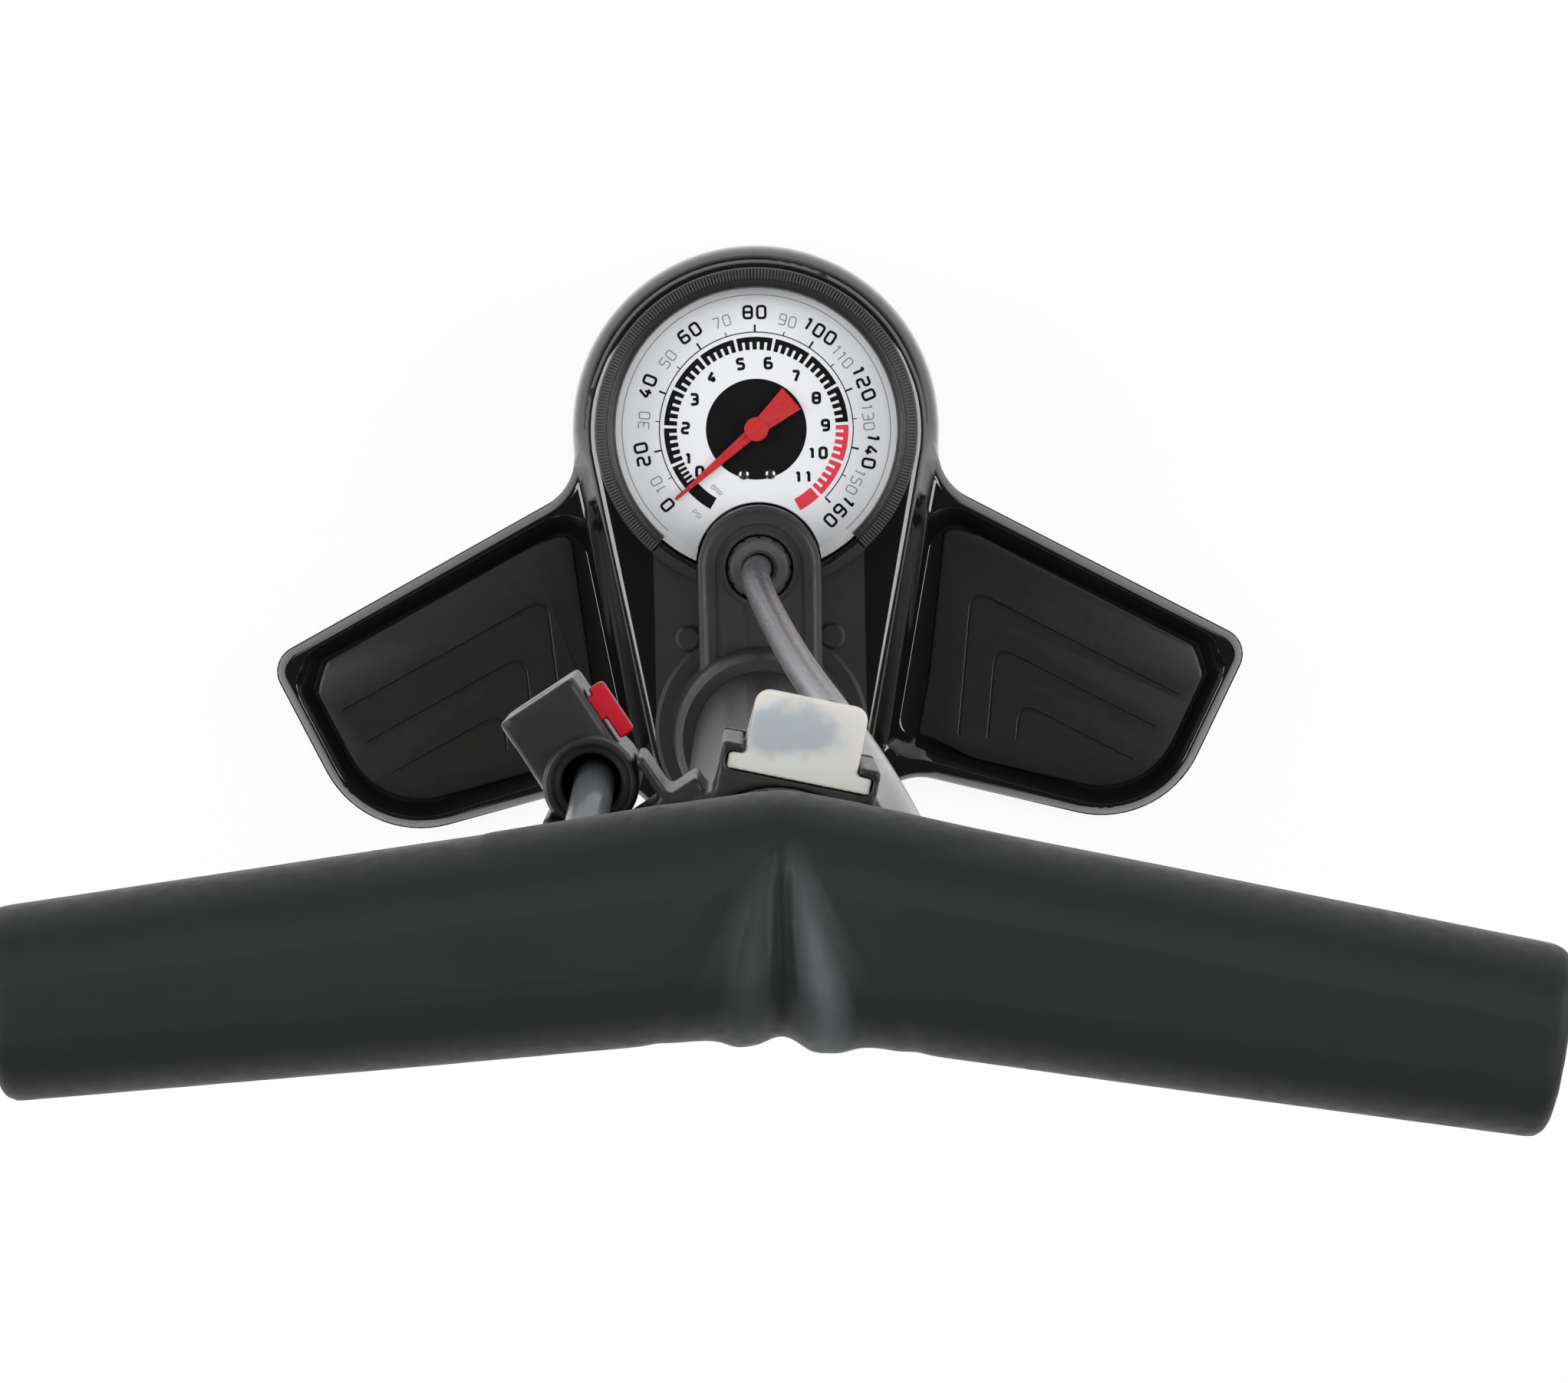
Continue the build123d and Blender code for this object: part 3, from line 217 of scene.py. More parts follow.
def surfaced(tree, shader, grain, output, relief, depth):
    """Takes a shader's roughness and relief from a grain and puts the shader on the surface."""
    bump = add_node(tree, "ShaderNodeBump", {"Strength": relief, "Distance": depth})
    wire(tree, (grain, "Roughness", shader, "Roughness"), (grain, "Height", bump, "Height"),
         (bump, "Normal", shader, "Normal"), (shader, 0, output, "Surface"))


def finish(name, colour, smooth, rough, grain=900, relief=0.2, dust=0.06, **sockets):
    """A painted or moulded finish: grain in its gloss and relief, and a little dust."""
    material, tree, output = new_material(name)
    shader = add_node(tree, "ShaderNodeBsdfPrincipled",
                      {socket.replace("_", " "): value for socket, value in sockets.items()})
    grained = add_node(tree, "ShaderNodeGroup", {"Scale": grain, "Smooth": smooth, "Rough": rough},
                       node_tree=grain_group)
    dusty = add_node(tree, "ShaderNodeGroup", {"Colour": colour, "Amount": dust}, node_tree=dust_group,
                     name="dusty")
    wire(tree, (dusty, "Colour", shader, "Base Color"))
    surfaced(tree, shader, grained, output, relief, 0.0001)
    return material


def joined_faces(node):
    """The shape of a built node, with its doubles merged and its flat faces joined."""
    shape = bmesh.new()
    shape.from_mesh(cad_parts[node].data)
    bmesh.ops.remove_doubles(shape, verts=shape.verts, dist=2e-6)
    bmesh.ops.dissolve_limit(shape, angle_limit=radians(0.4), verts=shape.verts, edges=shape.edges)
    return shape


def smooth_shaded(mesh, crease):
    """Smooth shading with sharp edges where faces turn by more than the crease angle."""
    mesh.polygons.foreach_set("use_smooth", [True] * len(mesh.polygons))
    mesh.set_sharp_from_angle(angle=radians(crease))


def solid(shape, name, crease=None):
    """An object made of a shape, which is used up; flat shaded unless it has a crease angle."""
    mesh = bpy.data.meshes.new(name)
    shape.to_mesh(mesh)
    shape.free()
    if crease is not None:
        smooth_shaded(mesh, crease)
    return link(bpy.data.objects.new(name, mesh))


def merged(node, name, crease=30):
    """A shown copy of a built node: doubles merged, flat faces joined, round faces shaded smooth."""
    return solid(joined_faces(node), name, crease)


def fit_piece(piece, body, slot, material, *nodes):
    """Gives a finished piece its material, its body and the built nodes that it stands for."""
    piece.data.materials.clear()
    piece.data.materials.append(material)
    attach(piece, body)
    if nodes:
        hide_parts(*nodes)
    return piece


def eased_copy(node, name, width, slot, material, crease=30, body="pump"):
    """A built node shown as a merged copy with softly rounded edges."""
    piece = merged(node, name, crease)
    bevel = piece.modifiers.new("eased_edges", "BEVEL")
    bevel.width = width
    bevel.segments = 2
    bevel.limit_method = "ANGLE"
    bevel.angle_limit = radians(35)
    bevel.use_clamp_overlap = True
    bevel.harden_normals = True
    return fit_piece(piece, body, slot, material, node)


def dress(node, material):
    """A built node shown as it is, in its own material."""
    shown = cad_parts[node]
    shown.data.materials.clear()
    shown.data.materials.append(material)


base_enamel = finish("base_enamel", steel_black, 0.06, 0.1, grain=160, relief=0.02, dust=0.01, IOR=1.9)


def outer_edge(shape):
    """Points every half millimetre along the outer lower edge of the pressing, as a search tree."""
    low = min(vert.co.z for vert in shape.verts) + 1e-5
    middle = Vector((0, 0.03, 0))
    points = []
    for edge in shape.edges:
        one, two = (vert.co for vert in edge.verts)
        walls = [face for face in edge.link_faces if abs(face.normal.z) < 0.7]
        if max(one.z, two.z) < low and walls and walls[0].normal.dot((one + two) / 2 - middle) > 0:
            parts = max(1, round((two - one).length / 0.0005))
            points += [one.lerp(two, part / parts) for part in range(parts + 1)]
    tree = KDTree(len(points))
    for index, point in enumerate(points):
        tree.insert((point.x, point.y, 0), index)
    tree.balance()
    return tree


def ramp(value, steps):
    """A value read off a line through pairs of numbers."""
    for (x0, y0), (x1, y1) in zip(steps, steps[1:]):
        if value <= x1:
            return y0 + (y1 - y0) * (value - x0) / (x1 - x0)
    return value


# How far in from the outer edge each turn of the wing's rim lies: as built, and as pressed.
rim_turns = [(0, 0), (0.0036, 0.0024), (0.0047, 0.0031), (0.0105, 0.0066), (0.0125, 0.0086), (0.016, 0.016)]
wing_from, wing_whole = 0.041, 0.056

# The lip's outer face leans in to its crest, and so does the wall round the gauge's end.
lip_top, lip_width, lip_start = 0.0150, 0.0024, 0.0112
lip_foot, foot_slope = 0.0118, 0.6
lean_straight, lean_curved = 1.11, 0.2375
end_wall = [(0, 0.0134), (0.0006, 0.0170), (0.0012, 0.0192), (0.0018, 0.0206), (0.0024, 0.0214),
            (0.0030, 0.0218), (0.0036, 0.0219), (0.0040, 0.0220)]
end_from, end_whole = 0.066, 0.076
wall_foot, wall_low, wall_high, wall_top = 0.0130, 0.0150, 0.0210, 0.02198


def narrowed_rim(shape, edge_tree):
    """Draws the rim of both wings out to the narrow lip that it has, and leaves the spine as it is."""
    for vert in shape.verts:
        near, _, gap = edge_tree.find((vert.co.x, vert.co.y, 0))
        share = ramp(min(abs(vert.co.x), wing_whole), [(0, 0), (wing_from, 0), (wing_whole, 1)])
        if share > 0 and gap < rim_turns[-1][0]:
            closer = ramp(gap, rim_turns)
            if gap > 1e-5:
                outward = (near - Vector((vert.co.x, vert.co.y, 0))) / gap
                vert.co += outward * (gap - closer) * share
            if vert.co.z > lip_start and closer < lip_width and vert.co.z > lip_foot - foot_slope * closer:
                back = (lip_width - closer) * 1000
                leaning = lip_top - (lean_straight * back + lean_curved * back * back) / 1000
                vert.co.z += (leaning - vert.co.z) * share


def rounded_end(shape, edge_tree):
    """Rounds the wall at the gauge's end: steep outside, nearly level before the inner lip."""
    def is_wall(edge):
        low, high = sorted((edge.verts[0].co, edge.verts[1].co), key=lambda place: place.z)
        return wall_foot < low.z < wall_low and high.z > wall_high and low.y > end_from - 0.004
    walls = [edge for edge in shape.edges if is_wall(edge)]
    bmesh.ops.subdivide_edges(shape, edges=walls, cuts=7, use_grid_fill=True)
    for vert in shape.verts:
        gap = edge_tree.find((vert.co.x, vert.co.y, 0))[2]
        if wall_foot < vert.co.z < wall_top and gap < end_wall[-1][0] and vert.co.y > end_from:
            share = ramp(min(vert.co.y, end_whole), [(0, 0), (end_from, 0), (end_whole, 1)])
            if ramp(gap, [(0, 0.0120), (0.0040, wall_high), (0.01, 0.03)]) < vert.co.z:
                vert.co.z += (max(ramp(gap, end_wall), vert.co.z) - vert.co.z) * share


floor_low, floor_high = 0.0090, 0.0105
foot_near, foot_far, foot_fillet = 0.033, 0.052, 0.0013


def eased_foot(shape):
    """A small fillet along the foot of the spine, where it meets both sunken floors."""
    shape.normal_update()
    foot = []
    for edge in shape.edges:
        one, two = (vert.co for vert in edge.verts)
        level = floor_low < min(one.z, two.z) and max(one.z, two.z) < floor_high
        beside = foot_near < abs(one.x) < foot_far and abs(one.y - two.y) > 0.0015
        beside = beside and (one - two).length > 0.002
        if level and beside and len(edge.link_faces) == 2 and edge.calc_face_angle_signed() < -radians(25):
            foot.append(edge)
    bmesh.ops.bevel(shape, geom=foot, offset=foot_fillet, segments=5, profile=0.5, affect="EDGES")


def reshaped(piece, change, *details):
    """Applies a change of shape to a shown copy."""
    shape = bmesh.new()
    shape.from_mesh(piece.data)
    change(shape, *details)
    shape.to_mesh(piece.data)
    shape.free()
    return piece


pressing = merged("base_plate", "pressed_base", 24)
shape = bmesh.new()
shape.from_mesh(pressing.data)
shape.normal_update()
rim_edge = outer_edge(shape)
shape.free()
reshaped(pressing, eased_foot)
reshaped(pressing, narrowed_rim, rim_edge)
reshaped(pressing, rounded_end, rim_edge)
smooth_shaded(pressing.data, 32)
fit_piece(pressing, "pump", "base_steel", base_enamel, "base_plate")

# ---------------------------------------------------------------- feet and screws
# Soft black rubber feet are plugged into the pressing from below, and four zinc-plated screws
# hold the gauge housing down from underneath.
foot_rubber = finish("foot_rubber", (0.018, 0.018, 0.018, 1), 0.6, 0.8, grain=700, relief=0.3, dust=0.2)
eased_copy("rubber_feet", "plugged_feet", 0.0006, "foot_rubber", foot_rubber)


def turned_marks():
    """Fine lathe or drawing lines that follow an upright axis: roughness and height."""
    inputs = [("Scale", FLOAT, 60), ("Smooth", FLOAT, 0.2), ("Rough", FLOAT, 0.4),
              ("Stretch", VECTOR, (6, 6, 90))]
    group, given, made = shader_group("turned_marks", inputs, [("Roughness", FLOAT), ("Height", FLOAT)])
    place = add_node(group, "ShaderNodeTexCoord")
    stretch = add_node(group, "ShaderNodeMapping")
    lines = add_node(group, "ShaderNodeTexNoise", {"Detail": 4})
    spread = add_node(group, "ShaderNodeMapRange")
    wire(group, (given, "Stretch", stretch, "Scale"), (place, "Object", stretch, "Vector"),
         (stretch, "Vector", lines, "Vector"), (given, "Scale", lines, "Scale"),
         (lines, "Fac", spread, "Value"), (given, "Smooth", spread, "To Min"),
         (given, "Rough", spread, "To Max"), (spread, "Result", made, "Roughness"),
         (lines, "Fac", made, "Height"))
    return group


turned_group = turned_marks()


def metal(name, colour, smooth, rough):
    """Bare or plated metal with fine turned lines."""
    material, tree, output = new_material(name)
    shader = add_node(tree, "ShaderNodeBsdfPrincipled", {"Base Color": colour, "Metallic": 1.0})
    lines = add_node(tree, "ShaderNodeGroup", {"Scale": 60, "Smooth": smooth, "Rough": rough},
                     node_tree=turned_group)
    surfaced(tree, shader, lines, output, 0.1, 0.00005)
    return material


zinc = metal("zinc_plate", (0.55, 0.56, 0.58, 1), 0.25, 0.45)
dress("base_screws", zinc)

# ---------------------------------------------------------------- foot pads
# Rubber treads fill the two sunken floors, satin black, with three nested grooves that follow the
# wing's front edge and turn back beside the spine.
pad_rubber = finish("pad_rubber", (0.010, 0.010, 0.0095, 1), 0.34, 0.46, grain=500, relief=0.06, dust=0.02)
pad_low, pad_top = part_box("left_foot_pad")[0].z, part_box("left_foot_pad")[1].z
edge_round = 0.0008
groove_half = 0.00042

# How far from the middle the treads' inner edges stay, from the rear to the front.
tread_inner = [(-0.030, 0.0385), (-0.005, 0.0410), (0.011, 0.0443), (0.042, 0.0482), (0.060, 0.0500)]


def edge_loop(node):
    """The lower outline of a tread as one ordered loop of points."""
    shape = joined_faces(node)
    bottom = min(shape.faces, key=lambda face: face.calc_center_median().z)
    corners = [vert.co.copy() for vert in bottom.verts]
    shape.free()
    points = []
    for one, two in zip(corners, corners[1:] + corners[:1]):
        parts = max(1, round((two - one).length / 0.001))
        points += [one.lerp(two, part / parts) for part in range(parts)]
    return points


def skinned(rows, name, crease=None):
    """A solid with flat ends, skinned over loops of points from the first to the last."""
    shape = bmesh.new()
    rows = [[shape.verts.new(point) for point in row] for row in rows]
    for one, other in zip(rows, rows[1:]):
        for index in range(len(one)):
            after = (index + 1) % len(one)
            shape.faces.new([one[index], one[after], other[after], other[index]])
    shape.faces.new(rows[0])
    shape.faces.new(rows[-1])
    bmesh.ops.recalc_face_normals(shape, faces=shape.faces)
    return solid(shape, name, crease)


def tread(side):
    """A tread with rounded upper edges, before its grooves are cut."""
    loop = edge_loop(side + "_foot_pad")
    shape = bmesh.new()
    ring = [shape.verts.new(point) for point in loop]
    narrowed_rim(shape, rim_edge)
    outline = [vert.co.copy() for vert in ring]
    shape.free()
    for point in outline:
        point.x = copysign(max(abs(point.x), ramp(point.y, tread_inner)), point.x)
    for _ in range(3):
        outline = [(outline[index - 1] + point + outline[(index + 1) % len(outline)]) / 3
                   for index, point in enumerate(outline)]
    area = sum(one.x * two.y - two.x * one.y for one, two in zip(outline, outline[1:] + outline[:1]))
    turn = copysign(1, area)
    inward = []
    for index, point in enumerate(outline):
        along = (outline[(index + 1) % len(outline)] - outline[index - 1]).normalized()
        inward.append(Vector((-along.y, along.x, 0)) * turn)
    levels = [(pad_low, 0), (pad_top - edge_round, 0), (pad_top - edge_round * 0.3, edge_round * 0.3),
              (pad_top, edge_round)]
    return skinned([[(point.x + way.x * inset, point.y + way.y * inset, z)
                     for point, way in zip(outline, inward)] for z, inset in levels], side + "_tread")


def rounded(points, radius):
    """The same line with its corners cut to short curves; a closed line stays closed."""
    closed = points[0] == points[-1]
    corners = points[:-1] if closed else points[1:-1]
    line = [] if closed else [points[0]]
    for index, corner in enumerate(corners):
        before = corners[index - 1] if closed else points[index]
        after = corners[(index + 1) % len(corners)] if closed else points[index + 2]
        start = corner + (before - corner).normalized() * min(radius, (before - corner).length / 2)
        end = corner + (after - corner).normalized() * min(radius, (after - corner).length / 2)
        for step in range(6):
            share = step / 5
            line.append(start.lerp(corner, share).lerp(corner.lerp(end, share), share))
    line.append(line[0] if closed else points[-1])
    return line


def final_mesh(piece):
    """The mesh of an object as its modifiers leave it."""
    return bpy.data.meshes.new_from_object(piece.evaluated_get(bpy.context.evaluated_depsgraph_get()))


def plain_copy(holder, name):
    """An object with the final mesh of a curve or a rule, which it takes the place of."""
    mesh = final_mesh(holder)
    bpy.data.objects.remove(holder)
    mesh.name = name
    return link(bpy.data.objects.new(name, mesh))


def tube(name, points, radius, roundness, kind):
    """A tube along a line of points, closed at both ends: returns it with its line."""
    curve = bpy.data.curves.new(name, "CURVE")
    curve.dimensions = "3D"
    curve.bevel_depth = radius
    curve.bevel_resolution = roundness
    curve.use_fill_caps = True
    line = curve.splines.new(kind)
    line.points.add(len(points) - 1)
    for control, place in zip(line.points, points):
        control.co = (*place, 1)
    return link(bpy.data.objects.new(name, curve)), line


def made_plain(piece, crease=35):
    """Writes a piece's modifiers into its mesh."""
    mesh = final_mesh(piece)
    piece.modifiers.clear()
    piece.data = mesh
    smooth_shaded(mesh, crease)
    return piece


def cut_by(piece, cutters):
    """Takes the cutters out of a piece, for good."""
    for cutter in cutters:
        cut = piece.modifiers.new("cut", "BOOLEAN")
        cut.object = cutter
        cut.solver = "EXACT"
    made_plain(piece)
    for cutter in cutters:
        bpy.data.objects.remove(cutter)
    return piece


wing_lean, spine_lean = radians(28), radians(6)
corner_x, corner_y, step_x, step_y = 0.0559, 0.0337, 0.0061, 0.015
far_length, far_step, near_length, near_step, groove_bend = 0.0614, 0.014, 0.0383, 0.0142, 0.005
for side_name, way in (("left", -1), ("right", 1)):
    grooves = []
    for row in range(3):
        corner = Vector((way * (corner_x + step_x * row), corner_y - step_y * row, pad_top))
        far = corner + Vector((way * cos(wing_lean), -sin(wing_lean), 0)) * (far_length - far_step * row)
        near = corner - Vector((way * sin(spine_lean), cos(spine_lean), 0)) * (near_length - near_step * row)
        groove, _ = tube("groove", rounded([far, corner, near], groove_bend), groove_half, 2, "POLY")
        grooves.append(plain_copy(groove, "groove"))
    fit_piece(cut_by(tread(side_name), grooves), "pump", "pad_rubber", pad_rubber, side_name + "_foot_pad")

# ---------------------------------------------------------------- gauge housing
# One dark grey glass-filled nylon moulding: the gauge cup, the deck with two bosses, the tower
# that takes the hose, and the collar that the barrel is pressed into. Screwed to the pressing.
housing_plastic = finish("housing_plastic", (0.0135, 0.014, 0.015, 1), 0.36, 0.5, grain=650, relief=0.12,
                         dust=0.1)
eased_copy("gauge_housing", "moulded_housing", 0.0005, "housing_plastic", housing_plastic, 28)

# ---------------------------------------------------------------- air valve
# Inside the housing: the plug and ring that seal the barrel's foot, a brass poppet on its seat
# under a small spring, and the brass spigot that the hose is pushed onto.
brass = metal("turned_brass", (0.72, 0.5, 0.2, 1), 0.2, 0.35)
spring_steel = metal("spring_steel", (0.5, 0.5, 0.52, 1), 0.2, 0.3)
seal_rubber = finish("seal_rubber", (0.012, 0.012, 0.012, 1), 0.45, 0.65, dust=0)
cast_alloy = metal("cast_alloy", (0.6, 0.61, 0.62, 1), 0.35, 0.55)
for node, slot, material in (("barrel_end", "alloy", cast_alloy),
                             ("barrel_end_ring", "seal_rubber", seal_rubber),
                             ("check_valve", "brass", brass),
                             ("valve_spring", "bright_steel", spring_steel),
                             ("hose_barb", "brass", brass)):
    dress(node, material)

# ---------------------------------------------------------------- hose nut
# A round plastic nut with shallow grips clamps the hose into the top of the tower.
nut_plastic = finish("nut_plastic", (0.05, 0.05, 0.052, 1), 0.3, 0.45, grain=300, relief=0.35, dust=0.15)
eased_copy("hose_nut", "clamp_nut", 0.0003, "cap_plastic", nut_plastic)

# ---------------------------------------------------------------- gauge movement
# Under the dial, a flattened bronze tube unbends with the pressure and pulls a link, which
# turns a toothed sector and with it the spindle of the needle, between two brass plates.
bronze = metal("bronze_tube", (0.62, 0.4, 0.2, 1), 0.25, 0.4)
for node in ("movement_base", "movement_bridge", "sector_gear", "bourdon_link", "needle_spindle",
             "gauge_socket_block"):
    dress(node, brass)
dress("bourdon_tube", bronze)

# ---------------------------------------------------------------- dial
# A tin disc lacquered blue-white, cut out round the tower. Two scales are printed on it: tens on
# the outside, each even ten large and black, and elevens inside, against a toothed band.
gauge_axis = Vector((0, 0.077, 0))
port_axis = Vector((0, 0.042, 0))
dial_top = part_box("gauge_dial")[1].z
print_thick = 0.00004
dial_white = (0.90, 0.915, 0.94, 1)
# Painted light: the paler colour that lifts the shade at the dial's rim and round the tower.
dial_painted_light = (0.98, 0.985, 1.0, 1)
rim_from, rim_full = 0.0343, 0.0352
tower_from, tower_full = 0.0168, 0.0158


def ring_mask(tree, centre, start, end):
    """Rises from 0 to 1 as the distance from an upright axis goes from start to end."""
    place = add_node(tree, "ShaderNodeTexCoord")
    flat = add_node(tree, "ShaderNodeVectorMath", {1: (1, 1, 0)}, operation="MULTIPLY")
    reach = add_node(tree, "ShaderNodeVectorMath", {1: centre}, operation="DISTANCE")
    spread = add_node(tree, "ShaderNodeMapRange", {"From Min": start, "From Max": end},
                      interpolation_type="SMOOTHSTEP")
    wire(tree, (place, "Object", flat, 0), (flat, 0, reach, 0), (reach, "Value", spread, "Value"))
    return spread


# Painted light: the lacquer is painted paler along the dial's rim and round the tower than it is between
# them, to lift the shade that the bezel and the tower cast there.
dial_lacquer, tree, output = new_material("dial_lacquer")
shader = add_node(tree, "ShaderNodeBsdfPrincipled", {"Roughness": 0.4})
rim_light_mask = ring_mask(tree, gauge_axis, rim_from, rim_full)
tower_light_mask = ring_mask(tree, port_axis, tower_from, tower_full)
either = add_node(tree, "ShaderNodeMath", operation="MAXIMUM")
lacquer_and_light = add_node(tree, "ShaderNodeMix", {"A": dial_white, "B": dial_painted_light}, data_type="RGBA")
wire(tree, (rim_light_mask, "Result", either, 0), (tower_light_mask, "Result", either, 1), (either, 0, lacquer_and_light, "Factor"),
     (lacquer_and_light, "Result", shader, "Base Color"), (shader, 0, output, "Surface"))
fit_piece(merged("gauge_dial", "dial_disc"), "pump", "dial_print", dial_lacquer, "gauge_dial")


def polar(radius, angle, centre=gauge_axis):
    """Place on the dial at a radius and an angle in degrees."""
    return centre.x + radius * cos(radians(angle)), centre.y + radius * sin(radians(angle))


def printed_strip(shape, left, right):
    """A thin closed strip of print between two lines of points."""
    low = [[shape.verts.new((x, y, dial_top)) for x, y in side] for side in (left, right)]
    high = [[shape.verts.new((x, y, dial_top + print_thick)) for x, y in side] for side in (left, right)]
    for one in range(len(left) - 1):
        two = one + 1
        for a, b in ((high[0], high[1]), (low[1], low[0]), (low[0], high[0]), (high[1], low[1])):
            shape.faces.new([a[one], a[two], b[two], b[one]])
    for end in (0, -1):
        shape.faces.new([low[0][end], low[1][end], high[1][end], high[0][end]])


def printed_arc(shape, inner, outer, first, last, centre=gauge_axis):
    """A printed band between two radii and two angles."""
    steps = max(1, round(abs(last - first) / 2))
    angles = [first + (last - first) * step / steps for step in range(steps + 1)]
    printed_strip(shape, [polar(inner, angle, centre) for angle in angles],
                  [polar(outer, angle, centre) for angle in angles])


# Centre lines of square-set characters in a box 1 wide and 1 high, their corners rounded later.
strokes = {
    "0": ["0,0 1,0 1,1 0,1 0,0"], "1": ["0.1,0.8 0.6,1 0.6,0"], "2": ["0,1 1,1 1,0.5 0,0.5 0,0 1,0"],
    "3": ["0,1 1,1 1,0 0,0", "0.3,0.5 1,0.5"], "4": ["0.75,0 0.75,0.55", "1.1,0.25 0,0.25 0.65,1"],
    "5": ["1,1 0,1 0,0.55 1,0.55 1,0 0,0"], "6": ["0.95,1 0,1 0,0 1,0 1,0.55 0,0.55"],
    "7": ["0,1 1,1 0.4,0"], "8": ["0,0 1,0 1,1 0,1 0,0", "0,0.5 1,0.5"],
    "9": ["0.05,0 1,0 1,1 0,1 0,0.45 1,0.45"], "A": ["0,0 0,1 1,1 1,0", "0,0.45 1,0.45"],
    "B": ["0,0 0,1 1,1 1,0 0,0", "0,0.5 1,0.5"], "R": ["0,0 0,1 1,1 1,0.45 0,0.45", "0.5,0.45 1,0"],
    "P": ["0,0 0,1 1,1 1,0.45 0,0.45"], "S": ["1,1 0,1 0,0.5 1,0.5 1,0 0,0"], "I": ["0.5,0 0.5,1"],
}


def printed_word(shape, word, height, radius, angle, tilt, weight, wide):
    """Printed characters centred at a radius and an angle of the dial, turned by tilt."""
    half = height * weight / 2
    tall, broad, gap = height - 2 * half, height * wide, height * (0.2 + weight)
    widths = [broad * (0.7 if letter == "1" else 0.0 if letter == "I" else 1) for letter in word]
    pen = -(sum(widths) + gap * (len(word) - 1)) / 2
    x, y = polar(radius, angle)
    place = Matrix.Translation((x, y, 0)) @ Matrix.Rotation(radians(tilt), 4, "Z")
    for letter, width in zip(word, widths):
        for stroke in strokes[letter]:
            pairs = [pair.split(",") for pair in stroke.split()]
            corners = [Vector((pen + float(u) * width, float(v) * tall - tall / 2, 0)) for u, v in pairs]
            line = rounded(corners, height * 0.2)
            left, right = [], []
            for index, point in enumerate(line):
                closed = line[0] == line[-1]
                before = line[index - 1] if index else (line[-2] if closed else point)
                after = line[index + 1] if index < len(line) - 1 else (line[1] if closed else point)
                across = (after - before).normalized().cross(Vector((0, 0, 1))) * half
                left.append((place @ (point - across)).xy)
                right.append((place @ (point + across)).xy)
            printed_strip(shape, left, right)
        pen += width + gap


def printed(name, shape, ink):
    """Closes a printed shape and puts it on the dial in its ink."""
    bmesh.ops.remove_doubles(shape, verts=shape.verts, dist=1e-6)
    bmesh.ops.recalc_face_normals(shape, faces=shape.faces)
    return fit_piece(solid(shape, name), "pump", "dial_print", ink)


# Degrees: where the eighth ten and the second unit stand, the step between marks, and the zeros.
eighth_ten, ten_step, ten_zero = 89.8, 16.95, 219.4
second_unit, unit_step, unit_zero = 177.4, 24.95, 219.9


def tens_angle(tens):
    """Angle of a ten of the outer scale; the first ten is squeezed up to the needle's stop."""
    return eighth_ten - ten_step * (tens - 8) if tens else ten_zero


def units_angle(units):
    """Angle of a unit of the inner scale."""
    return second_unit - unit_step * (units - 2) if units else unit_zero


black_ink = finish("black_ink", (0.004, 0.004, 0.0045, 1), 0.4, 0.5, relief=0, dust=0, Specular_IOR_Level=0.3)
grey_ink_and_shade = finish("grey_ink_and_shade", (0.24, 0.25, 0.27, 1), 0.4, 0.5, relief=0, dust=0)
red_ink = finish("red_ink", (0.80, 0.040, 0.080, 1), 0.35, 0.45, relief=0, dust=0)
black, grey, red = bmesh.new(), bmesh.new(), bmesh.new()
printed_arc(black, 0.0001, 0.01295, 0, 360)
printed_arc(black, 0.02476, 0.02504, tens_angle(16), tens_angle(0))
for tens in range(17):
    angle = tens_angle(tens)
    if tens % 2:
        printed_word(grey, str(10 * tens), 0.0030, 0.0289, angle, angle - 90, 0.1, 0.56)
        printed_arc(black, 0.025, 0.0260, angle - 0.3, angle + 0.3)
    else:
        printed_word(black, str(10 * tens), 0.0037, 0.0300, angle, angle - 90, 0.18, 0.56)
        printed_arc(black, 0.025, 0.0268, angle - 0.55, angle + 0.55)
unit_places = [(18.2, 216.0), (19.0, 202.3), (18.2, 178.0), (17.7, 153.3), (17.6, 129.6), (17.2, 102.6),
               (17.2, 78.6), (17.0, 52.1), (17.4, 26.4), (17.8, 2.3), (17.0, -22.1), (17.2, -46.3)]
for units, (reach, angle) in enumerate(unit_places):
    printed_word(black, str(units), 0.0033, reach / 1000, angle, 0, 0.235, 0.5)
band_inner, band_middle, band_outer = 0.0204, 0.0224, 0.0237
unit_gap, tooth_share = 0.95, 0.62
for units in range(11):
    first, last = units_angle(units) - unit_gap, units_angle(units + 1) + unit_gap
    ink = red if units > 8 else black
    pitch = (first - last) / (4 + tooth_share)
    printed_arc(ink, band_middle, band_outer, last, first)
    for tooth in range(5):
        start = last + pitch * tooth
        printed_arc(ink, band_inner, band_middle, start, start + tooth_share * pitch)
printed_arc(black, band_inner, band_outer, 221.4, 239)
printed_arc(red, band_inner, band_outer, -62.6, units_angle(11) - unit_gap)
printed_word(grey, "BAR", 0.0013, 0.0187, 235.9, -45, 0.13, 0.6)
printed_word(grey, "PSI", 0.0013, 0.0266, 233.9, -45, 0.13, 0.6)
# Painted shade: two thin grey lines, just inside the rim and round the tower, stand for the dark edge of the
# lens; they are printed in the grey ink.
printed_arc(grey, 0.0344, 0.0346, -49, 228)
printed_arc(grey, 0.0162, 0.0164, 16, 164, port_axis)
printed("dial_black_print", black, black_ink)
printed("dial_grey_print_and_shade", grey, grey_ink_and_shade)
printed("dial_red_print", red, red_ink)

